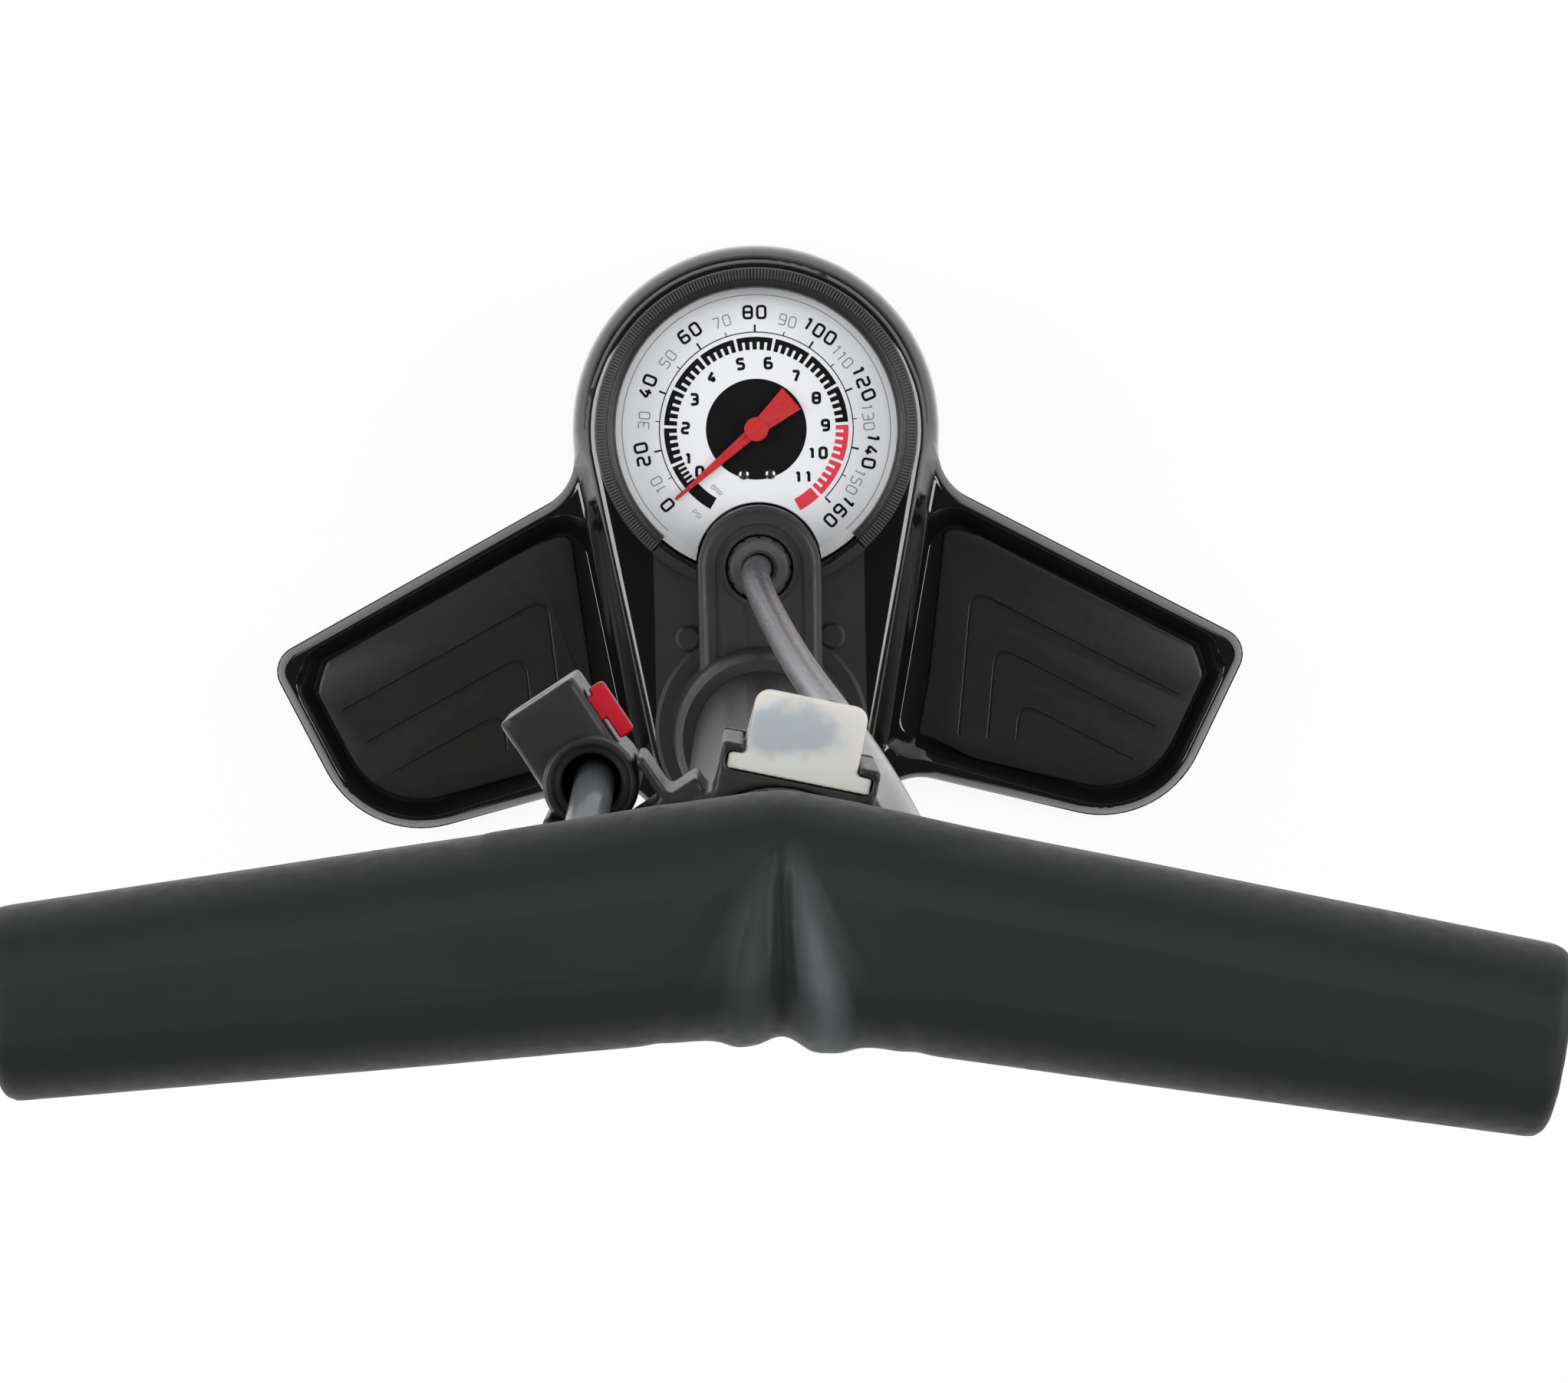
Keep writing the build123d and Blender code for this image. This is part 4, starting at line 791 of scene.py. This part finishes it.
# ---------------------------------------------------------------- needle and dial screws
# A needle stamped from aluminium and lacquered red rides on the spindle; its wide tail balances
# it. Two nickel-plated round heads hold the dial to the bridge.
needle_red = finish("needle_red", (0.56, 0.014, 0.018, 1), 0.25, 0.35, relief=0.02, dust=0)
nickel = metal("nickel_plate", (0.62, 0.59, 0.52, 1), 0.15, 0.3)
eased_copy("gauge_needle", "red_needle", 0.00012, "needle_red", needle_red, body="needle")
screw_heads = bmesh.new()
screw_side, screw_back, screw_flat = 0.0034, 0.0115, 0.5
for x in (-screw_side, screw_side):
    place = Matrix.Translation((x, gauge_axis.y - screw_back, dial_top))
    bmesh.ops.create_uvsphere(screw_heads, u_segments=24, v_segments=12, radius=0.0015,
                              matrix=place @ Matrix.Diagonal((1, 1, screw_flat, 1)))
bmesh.ops.bisect_plane(screw_heads, geom=screw_heads.verts[:] + screw_heads.edges[:] + screw_heads.faces[:],
                       plane_co=(0, 0, dial_top), plane_no=(0, 0, 1), clear_inner=True)
bmesh.ops.holes_fill(screw_heads, edges=screw_heads.edges)
fit_piece(solid(screw_heads, "dial_screw_heads", 40), "pump", "bright_steel", nickel, "dial_screws")

# ---------------------------------------------------------------- lens and bezel
# A clear polycarbonate disc is held over the dial by a plastic bezel, which screws onto the cup
# and is knurled round its shoulder; both stop where the tower and the deck take over.
lens_clear, tree, output = new_material("lens_clear")
shader = add_node(tree, "ShaderNodeBsdfPrincipled",
                  {"Base Color": (0.01, 0.01, 0.012, 1), "Roughness": 0.04, "IOR": 1.5, "Alpha": 0.05})
smudges = add_node(tree, "ShaderNodeTexNoise", {"Scale": 60})
place = add_node(tree, "ShaderNodeTexCoord")
bump = add_node(tree, "ShaderNodeBump", {"Strength": 0.02})
wire(tree, (place, "Object", smudges, "Vector"), (smudges, "Fac", bump, "Height"),
     (bump, "Normal", shader, "Normal"), (shader, 0, output, "Surface"))
fit_piece(merged("gauge_lens", "clear_lens"), "pump", "lens_clear", lens_clear, "gauge_lens")


def blocks_round_an_axis():
    """Geometry nodes: equal small blocks in a row round an upright axis, joined into one mesh."""
    tree = bpy.data.node_groups.new("blocks_round_an_axis", "GeometryNodeTree")
    sizes = [("Centre", VECTOR), ("Radius", FLOAT), ("First", FLOAT), ("Step", FLOAT),
             ("Count", "NodeSocketInt"), ("Block", VECTOR), ("Lean", FLOAT),
             ("Material", "NodeSocketMaterial")]
    for label, kind in sizes:
        tree.interface.new_socket(label, in_out="INPUT", socket_type=kind)
    tree.interface.new_socket("Blocks", in_out="OUTPUT", socket_type="NodeSocketGeometry")
    given, made = add_node(tree, "NodeGroupInput"), add_node(tree, "NodeGroupOutput")
    points, index = add_node(tree, "GeometryNodePoints"), add_node(tree, "GeometryNodeInputIndex")
    angle = add_node(tree, "ShaderNodeMath", operation="MULTIPLY_ADD")
    along = add_node(tree, "ShaderNodeMath", operation="COSINE")
    across = add_node(tree, "ShaderNodeMath", operation="SINE")
    spoke = add_node(tree, "ShaderNodeVectorMath", operation="MULTIPLY_ADD")
    direction, reach, turned = (add_node(tree, "ShaderNodeCombineXYZ") for _ in range(3))
    block, copies = add_node(tree, "GeometryNodeMeshCube"), add_node(tree, "GeometryNodeInstanceOnPoints")
    real, dyed = add_node(tree, "GeometryNodeRealizeInstances"), add_node(tree, "GeometryNodeSetMaterial")
    wire(tree, (given, "Count", points, "Count"), (index, 0, angle, 0), (given, "Step", angle, 1),
         (given, "First", angle, 2), (angle, 0, along, 0), (angle, 0, across, 0),
         (along, 0, direction, "X"), (across, 0, direction, "Y"))
    wire(tree, *((given, "Radius", reach, axis) for axis in "XYZ"))
    wire(tree, (direction, 0, spoke, 0), (reach, 0, spoke, 1), (given, "Centre", spoke, 2),
         (spoke, 0, points, "Position"), (given, "Lean", turned, "Y"), (angle, 0, turned, "Z"),
         (given, "Block", block, "Size"), (points, 0, copies, "Points"), (block, "Mesh", copies, "Instance"),
         (turned, 0, copies, "Rotation"), (copies, 0, real, 0), (real, 0, dyed, "Geometry"),
         (given, "Material", dyed, "Material"), (dyed, 0, made, 0))
    return tree


blocks_tree = blocks_round_an_axis()


def block_row(name, material, **sizes):
    """A row of blocks as a plain mesh object."""
    holder = link(bpy.data.objects.new(name + "_rule", bpy.data.meshes.new(name + "_rule")))
    rule = holder.modifiers.new("blocks", "NODES")
    rule.node_group = blocks_tree
    for socket in blocks_tree.interface.items_tree:
        if socket.in_out == "INPUT":
            rule[socket.identifier] = material if socket.name == "Material" else sizes[socket.name]
    return plain_copy(holder, name)


bezel_plastic = finish("bezel_plastic", (0.013, 0.0135, 0.0145, 1), 0.34, 0.46, grain=700, relief=0.12,
                       dust=0.05)
# Painted light: the knurl's ribs are the bezel's plastic painted lighter, for the light on their tops against
# the shaded gaps between them.
lit_rib_plastic = finish("lit_rib_plastic", (0.048, 0.050, 0.052, 1), 0.36, 0.48, grain=700, relief=0.1,
                        dust=0.05)
bezel_end = radians(49)


bezel_profile = [(0.0391, 0.0502), (0.0413, 0.0502), (0.0413, 0.0514), (0.0409, 0.0522), (0.0409, 0.0554),
                 (0.0379, 0.0577), (0.0376, 0.0578), (0.0369, 0.0576), (0.0363, 0.0571), (0.0360, 0.0562),
                 (0.0360, 0.0522), (0.0391, 0.0522)]
bezel_steps, end_gap = 160, 0.012
first, last = -bezel_end + end_gap, pi + bezel_end - end_gap
angles = [first + (last - first) * step / bezel_steps for step in range(bezel_steps + 1)]
bezel = skinned([[(gauge_axis.x + r * cos(angle), gauge_axis.y + r * sin(angle), z) for r, z in bezel_profile]
                 for angle in angles], "screwed_bezel", 30)
fit_piece(bezel, "pump", "ring_plastic", bezel_plastic, "gauge_ring")
# Painted light: the ribs take the lighter copy of the bezel's plastic.
rib_count, rib_gap = 230, 0.02
knurl = block_row("bezel_knurl", lit_rib_plastic, Centre=gauge_axis + Vector((0, 0, 0.0566)), Radius=0.0395,
                  First=-bezel_end + rib_gap, Count=rib_count,
                  Step=(pi + 2 * bezel_end - 2 * rib_gap) / (rib_count - 1),
                  Block=Vector((0.0034, 0.00045, 0.0008)), Lean=radians(38))
fit_piece(knurl, "pump", "ring_plastic", lit_rib_plastic)

# ---------------------------------------------------------------- barrel
# A drawn steel tube, sprayed warm dark grey. It is pressed into the collar of the housing and
# closed by a plastic cap, whose notches are for the fingers; the cap holds the bush of the rod.
barrel_paint, tree, output = new_material("barrel_paint")
shader = add_node(tree, "ShaderNodeBsdfPrincipled", {"Specular IOR Level": 0.1})
drawn_lines = {"Stretch": (150, 150, 3), "Scale": 2, "Smooth": 0.28, "Rough": 0.42}
drawn = add_node(tree, "ShaderNodeGroup", drawn_lines, node_tree=turned_group)
tint = add_node(tree, "ShaderNodeMix", {"A": (0.009, 0.0085, 0.0078, 1), "B": (0.034, 0.032, 0.029, 1)},
                data_type="RGBA")
wire(tree, (drawn, "Height", tint, "Factor"), (tint, "Result", shader, "Base Color"))
surfaced(tree, shader, drawn, output, 0.05, 0.0001)
fit_piece(merged("barrel", "drawn_barrel"), "pump", "barrel_paint", barrel_paint, "barrel")
cap_plastic = finish("cap_plastic", (0.0085, 0.0085, 0.009, 1), 0.5, 0.6, grain=600, relief=0.12, dust=0.03,
                     Specular_IOR_Level=0.25)
eased_copy("barrel_cap", "notched_cap", 0.0004, "cap_plastic", cap_plastic)
dress("rod_bush", cap_plastic)
dress("rod_wiper", seal_rubber)

# ---------------------------------------------------------------- rod and piston
# A hard-chromed tube with a plastic piston on its foot, held by a nut. The piston's square ring
# slides in the barrel, and air passes it on the way up.
chrome = metal("hard_chrome", (0.70, 0.71, 0.73, 1), 0.06, 0.14)
fit_piece(merged("piston_rod", "chromed_rod"), "handle", "bright_steel", chrome, "piston_rod")
dress("piston", cap_plastic)
dress("piston_seal", seal_rubber)
dress("piston_nut", zinc)

# ---------------------------------------------------------------- handle
# A steel T-piece is pinned through the rod's top, and a charcoal grip is moulded over it: arms
# that sweep back and widen, two ridges on top beside a valley, and flat ends.
grip_plastic = finish("grip_plastic", (0.0118, 0.0136, 0.0130, 1), 0.45, 0.56, grain=420, relief=0.06,
                      dust=0.02, Specular_IOR_Level=0.24)
dress("handle_core", zinc)
dress("handle_pin", spring_steel)


def reckon(tree, operation, *values, clamp=False):
    """A math node on sockets or plain numbers; returns its output."""
    node = add_node(tree, "ShaderNodeMath", operation=operation, use_clamp=clamp)
    for socket, value in zip(node.inputs, values):
        if isinstance(value, (int, float)):
            socket.default_value = value
        else:
            tree.links.new(value, socket)
    return node.outputs[0]


def ridge_sheen():
    """One along a ridge of the grip where a highlight is painted, nought beside it."""
    labels = ("Start", "Spread", "Front", "Length", "Narrow", "Widening", "Top")
    inputs = [(label, FLOAT, 0.01) for label in labels]
    group, given, made = shader_group("ridge_sheen", inputs, [("Mask", FLOAT)])
    place = add_node(group, "ShaderNodeTexCoord")
    part = add_node(group, "ShaderNodeSeparateXYZ")
    wire(group, (place, "Object", part, 0))
    got = given.outputs
    back = reckon(group, "SUBTRACT", got["Front"], part.outputs["Y"])
    held = reckon(group, "DIVIDE", back, got["Length"], clamp=True)
    centre = reckon(group, "MULTIPLY_ADD", held, got["Spread"], got["Start"])
    width = reckon(group, "MULTIPLY_ADD", held, got["Widening"], got["Narrow"])
    offset = reckon(group, "ABSOLUTE", reckon(group, "SUBTRACT", part.outputs["X"], centre))
    across = reckon(group, "SUBTRACT", 1.15, reckon(group, "DIVIDE", offset, width), clamp=True)
    height = reckon(group, "SUBTRACT", part.outputs["Z"], got["Top"])
    above = reckon(group, "MULTIPLY", height, 150, clamp=True)
    grown = reckon(group, "MULTIPLY", held, 1.6, clamp=True)
    both = reckon(group, "MULTIPLY", reckon(group, "MULTIPLY", across, above), grown)
    group.links.new(both, made.inputs["Mask"])
    return group


# Painted highlight: the grip's colour is made lighter along the tops of both ridges, the right one more,
# where the side lamps' highlights fall.
tree = grip_plastic.node_tree
ridge_highlight_group = ridge_sheen()
colour = (0.0125, 0.0143, 0.0137, 1)
for start, spread, narrow, painted_highlight in ((0.0022, 0.0048, 0.0012, (0.062, 0.070, 0.074, 1)),
                                      (-0.0012, -0.0040, 0.0008, (0.028, 0.031, 0.031, 1))):
    ridge_highlight = add_node(tree, "ShaderNodeGroup", {"Start": start, "Spread": spread, "Front": 0.015,
                     "Length": 0.026, "Narrow": narrow, "Widening": 0.0026, "Top": 0.617},
                     node_tree=ridge_highlight_group)
    mix = add_node(tree, "ShaderNodeMix", data_type="RGBA")
    wire(tree, (ridge_highlight, "Mask", mix, "Factor"))
    if isinstance(colour, tuple):
        mix.inputs["A"].default_value = colour
    else:
        tree.links.new(colour, mix.inputs["A"])
    mix.inputs["B"].default_value = painted_highlight
    colour = mix.outputs["Result"]
tree.links.new(colour, tree.nodes["dusty"].inputs["Colour"])


def even_skin(piece, voxel):
    """Gives a solid one even skin of small faces."""
    skin = piece.modifiers.new("even_skin", "REMESH")
    skin.mode = "VOXEL"
    skin.voxel_size = voxel


def smoothed(piece, name, turns, group=""):
    """Smooths a piece, or one group of its points, by a number of turns."""
    soften = piece.modifiers.new(name, "SMOOTH")
    soften.factor = 0.5
    soften.iterations = turns
    soften.vertex_group = group


grip = merged("handle_grip", "moulded_grip", 180)
even_skin(grip, 0.0009)
made_plain(grip, 180)
hub = Vector((0, 0.002, 0.614))
middle_reach, middle_drop = 0.017, 0.008
middle = grip.vertex_groups.new(name="middle")
middle.add([vert.index for vert in grip.data.vertices
            if abs(vert.co.x) < middle_reach and vert.co.z > hub.z - middle_drop], 1, "REPLACE")
smoothed(grip, "softened", 8)
smoothed(grip, "smoothed_middle", 70, "middle")
made_plain(grip, 180)
ridge_front, ridge_rear, grip_top = 0.013, -0.013, 0.63105
ridge_reach, ridge_foot = 0.045, 0.004


def clamped(value, low=0):
    """A value kept between its lower end and one."""
    return min(1, max(low, value))


def hill(offset, half_width):
    """A round-topped hill of height one."""
    return 1 / (1 + (offset / half_width) ** 4)


def ridged(shape):
    """Raises the two teardrop ridges, cuts the valley between them and the creases beside them."""
    shape.normal_update()
    moves = []
    for vert in shape.verts:
        x, y, z = vert.co - hub
        if abs(x) > ridge_reach or z < -ridge_foot:
            continue
        along = (ridge_front - y) / (ridge_front - ridge_rear)
        held = clamped(along)
        up = min(1, (z + ridge_foot) / 0.006)
        grown = clamped((along + 0.05) / 0.5)
        left_grown = clamped((along - 0.15) / 0.5)
        raise_right = 0.0017 * grown * hill(x - (0.0022 + 0.0048 * held), 0.0009 + 0.0031 * held)
        raise_left = 0.0013 * left_grown * hill(x + 0.0012 + 0.0040 * held, 0.0006 + 0.0027 * held)
        opened, closed = clamped((along + 0.12) / 0.4), clamped((1.15 - along) / 0.3, 0.1)
        valley = 0.0016 * opened * closed * exp(-((x - 0.0006) / (0.0010 + 0.0006 * held)) ** 2)
        crease = 0.0025 + 0.0135 * max(0, along - 0.02)
        side = 0.0006 * grown * exp(-((abs(x - 0.0004) - crease) / 0.0016) ** 2) * max(0, 1 - held * 0.5)
        fuller = 0.0009 * clamped((y - 0.010) / 0.006)
        moves.append((vert, vert.normal * (max(raise_right, raise_left) - valley - side + fuller) * up))
    for vert, move in moves:
        vert.co += move
        vert.co.z = min(vert.co.z, grip_top)


reshaped(grip, ridged)
smoothed(grip, "last_pass", 4)
fit_piece(grip, "handle", "grip_plastic", grip_plastic, "handle_grip")

# ---------------------------------------------------------------- top bracket
# One black moulding clipped round the barrel under its cap: a pocket for the adaptor box on one
# side and a forked clip that holds the pump head on the other.


def pebbled(piece, voxel, turns):
    """Rounds every edge of a solid moulding, inside and out."""
    even_skin(piece, voxel)
    smoothed(piece, "softened", turns)
    return made_plain(piece, 180)


bracket_plastic = finish("bracket_plastic", (0.011, 0.011, 0.0118, 1), 0.33, 0.48, grain=550, relief=0.15,
                         dust=0.08)
fit_piece(pebbled(merged("top_bracket", "clip_bracket"), 0.00055, 5), "pump", "bracket_plastic",
          bracket_plastic, "top_bracket")

# ---------------------------------------------------------------- adaptor box
# A milky polypropylene box drops into the bracket's pocket, with a ball needle, a cone and a
# valve adaptor loose inside. Its walls let some light through.
box_white = (0.54, 0.54, 0.515, 1)
box_plastic = finish("box_plastic", box_white, 0.3, 0.45, grain=240, relief=0.05, dust=0.05,
                     Subsurface_Weight=0.4, Subsurface_Scale=0.004)
box_low, box_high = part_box("adaptor_box")


def inside_mask():
    """One where painted shade stands for the hollow of a milky box seen through its lid, nought over its
    walls.
    """
    inputs = [("Centre", VECTOR, (0, 0, 0)), ("Reach", VECTOR, (1, 1, 1))]
    group, given, made = shader_group("inside_mask", inputs, [("Mask", FLOAT)])
    place = add_node(group, "ShaderNodeTexCoord")
    offset, scaled, length = (add_node(group, "ShaderNodeVectorMath", operation=operation)
                              for operation in ("SUBTRACT", "DIVIDE", "LENGTH"))
    fade = add_node(group, "ShaderNodeMapRange",
                    {"From Min": 0.55, "From Max": 1.1, "To Min": 1, "To Max": 0},
                    interpolation_type="SMOOTHSTEP")
    waver = add_node(group, "ShaderNodeTexNoise", {"Scale": 220})
    shift = add_node(group, "ShaderNodeVectorMath", {1: (0.006, 0.006, 0.006)}, operation="MULTIPLY_ADD")
    wire(group, (place, "Object", waver, "Vector"), (waver, "Color", shift, 0), (place, "Object", shift, 2),
         (shift, 0, offset, 0), (given, "Centre", offset, 1), (offset, 0, scaled, 0),
         (given, "Reach", scaled, 1), (scaled, 0, length, 0), (length, "Value", fade, "Value"),
         (fade, "Result", made, "Mask"))
    return group


# Painted shade: a cool grey patch on the lid stands for the dark hollow showing through the milky plastic.
tree = box_plastic.node_tree
hollow_shade_box = {"Centre": (0.0060, 0.0292, box_high.z + 0.0030), "Reach": (0.0100, 0.0052, 0.02)}
hollow_shade_mask = add_node(tree, "ShaderNodeGroup", hollow_shade_box, node_tree=inside_mask())
box_colour_and_shade = add_node(tree, "ShaderNodeMix", {"A": box_white, "B": (0.33, 0.365, 0.385, 1)},
                        data_type="RGBA")
wire(tree, (hollow_shade_mask, "Mask", box_colour_and_shade, "Factor"), (box_colour_and_shade, "Result", tree.nodes["dusty"], "Colour"))
draft, draft_from = 0.0021, 0.0245


def drafted(shape):
    """Narrows the box towards its bottom on the side away from the barrel."""
    for vert in shape.verts:
        if vert.co.y > draft_from:
            vert.co.y -= draft * (box_high.z - vert.co.z) / (box_high.z - box_low.z)


cone_plastic = finish("cone_plastic", (0.02, 0.02, 0.022, 1), 0.35, 0.5)
milky = reshaped(merged("adaptor_box", "milky_box"), drafted)
fit_piece(pebbled(milky, 0.00035, 7), "box", "box_plastic", box_plastic, "adaptor_box")
dress("ball_needle", spring_steel)
dress("valve_adaptor", brass)
dress("cone_adaptor", cone_plastic)

# ---------------------------------------------------------------- hose
# Clear grey plastic hose, 7 mm thick, from the nut beside the gauge up along the barrel, round
# behind the rod and down into the head. It is the built hose's line, with four low points moved
# sideways by under 2 mm.
hose_points = [
    (0, 42, 67), (-1.7, 41.6, 92), (0.3, 36.6, 140), (4.1, 30.3, 215), (8.2, 25, 300),
    (14, 19.6, 395), (20.5, 11.3, 480.5), (25, 2.2, 531), (34, -7.2, 560.5), (20, -15.9, 582.5),
    (-5, -15.1, 589.2), (-25.7, -7, 579.4), (-32.6, 5.4, 562.5), (-29.6, 18.6, 537.5),
    (-30.5, 17.7, 514),
]
hose_points = [Vector(point) / 1000 for point in hose_points]
hose, line = tube("hose_tube", hose_points, 0.0035, 6, "NURBS")
hose.data.resolution_u = 16
line.order_u = 3
line.use_endpoint_u = True
hose_plastic = finish("hose_plastic", (0.115, 0.122, 0.134, 1), 0.24, 0.32, grain=90, relief=0.0, dust=0.02,
                      Coat_Weight=0.2, Coat_Roughness=0.15)
fit_piece(hose, "pump", "hose_plastic", hose_plastic, "hose")

# ---------------------------------------------------------------- pump head
# The head sits in the bracket's clip with its nozzle level: a black body with a ring where the
# hose comes in, a seal and its pin behind the nozzle's cap, and a red switch on the side.
head_plastic = finish("head_plastic", (0.0105, 0.0105, 0.0112, 1), 0.3, 0.42, grain=500, relief=0.06,
                      dust=0.05)
nozzle_way = Vector((cos(radians(122.4)), sin(radians(122.4)), 0))
head_axis = Vector((-0.0305, 0.0177, 0))
seam_reach, shorten_from, end_reach, shorter = 0.0161, 0.011, 0.0186, 0.0019


def shortened(shape):
    """Draws the nozzle's end in a little."""
    for vert in shape.verts:
        reach = (vert.co - head_axis).dot(nozzle_way)
        vert.co -= nozzle_way * shorter * clamped((reach - shorten_from) / (end_reach - shorten_from))


def half_of(piece, name, outer):
    """The part of a solid beyond the seam or before it, closed where it was cut."""
    shape = bmesh.new()
    shape.from_mesh(piece.data)
    cut = bmesh.ops.bisect_plane(shape, geom=shape.verts[:] + shape.edges[:] + shape.faces[:],
                                 plane_co=head_axis + nozzle_way * seam_reach, plane_no=nozzle_way,
                                 clear_inner=outer, clear_outer=not outer)
    rim = [part for part in cut["geom_cut"] if isinstance(part, bmesh.types.BMEdge)]
    bmesh.ops.triangle_fill(shape, edges=rim, use_beauty=True)
    bmesh.ops.recalc_face_normals(shape, faces=shape.faces)
    return solid(shape, name, 60)


block = merged("head_body", "head_block")
joined = bmesh.new()
for node in ("head_body", "head_cap"):
    joined.from_mesh(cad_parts[node].data)
bmesh.ops.remove_doubles(joined, verts=joined.verts, dist=2e-6)
joined.to_mesh(block.data)
joined.free()
pebbled(reshaped(block, shortened), 0.00045, 22)


def slot_cutter(along_from, along_to, across_from, across_to, low, high):
    """A block in the head's own directions, which keeps the switch's way clear."""
    shape = bmesh.new()
    bmesh.ops.create_cube(shape, size=1)
    across_way = Vector((-nozzle_way.y, nozzle_way.x, 0))
    for vert in shape.verts:
        along = along_to if vert.co.x > 0 else along_from
        across = across_to if vert.co.y > 0 else across_from
        height = high if vert.co.z > 0 else low
        vert.co = head_axis + nozzle_way * along + across_way * across + Vector((0, 0, height))
    return solid(shape, "slot")


slot_gap = 0.00035
slot_low, slot_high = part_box("head_switch")[0].z - slot_gap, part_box("head_switch")[1].z + slot_gap
button_from, button_to, button_depth = 0.00305, 0.01365, -0.00475
stem_from, stem_to, past_wall = 0.00725, 0.01255, 0.012
cut_by(block, [slot_cutter(button_from, button_to, -past_wall, button_depth, slot_low, slot_high),
               slot_cutter(stem_from, stem_to, -past_wall, past_wall, slot_low, slot_high)])
fit_piece(half_of(block, "moulded_head", False), "pump", "head_plastic", head_plastic, "head_body")
fit_piece(half_of(block, "head_end_cap", True), "pump", "head_plastic", head_plastic, "head_cap")
bpy.data.objects.remove(block)
eased_copy("head_hose_collar", "hose_collar", 0.0003, "head_plastic", head_plastic)
dress("head_barb", brass)
dress("head_seal", seal_rubber)
dress("head_core_pin", brass)
switch_red = finish("switch_red", (0.36, 0.002, 0.012, 1), 0.36, 0.48, grain=500, relief=0.08, dust=0.0,
                    Specular_IOR_Level=0.25)
eased_copy("head_switch", "red_switch", 0.0004, "switch_red", switch_red, body="switch")
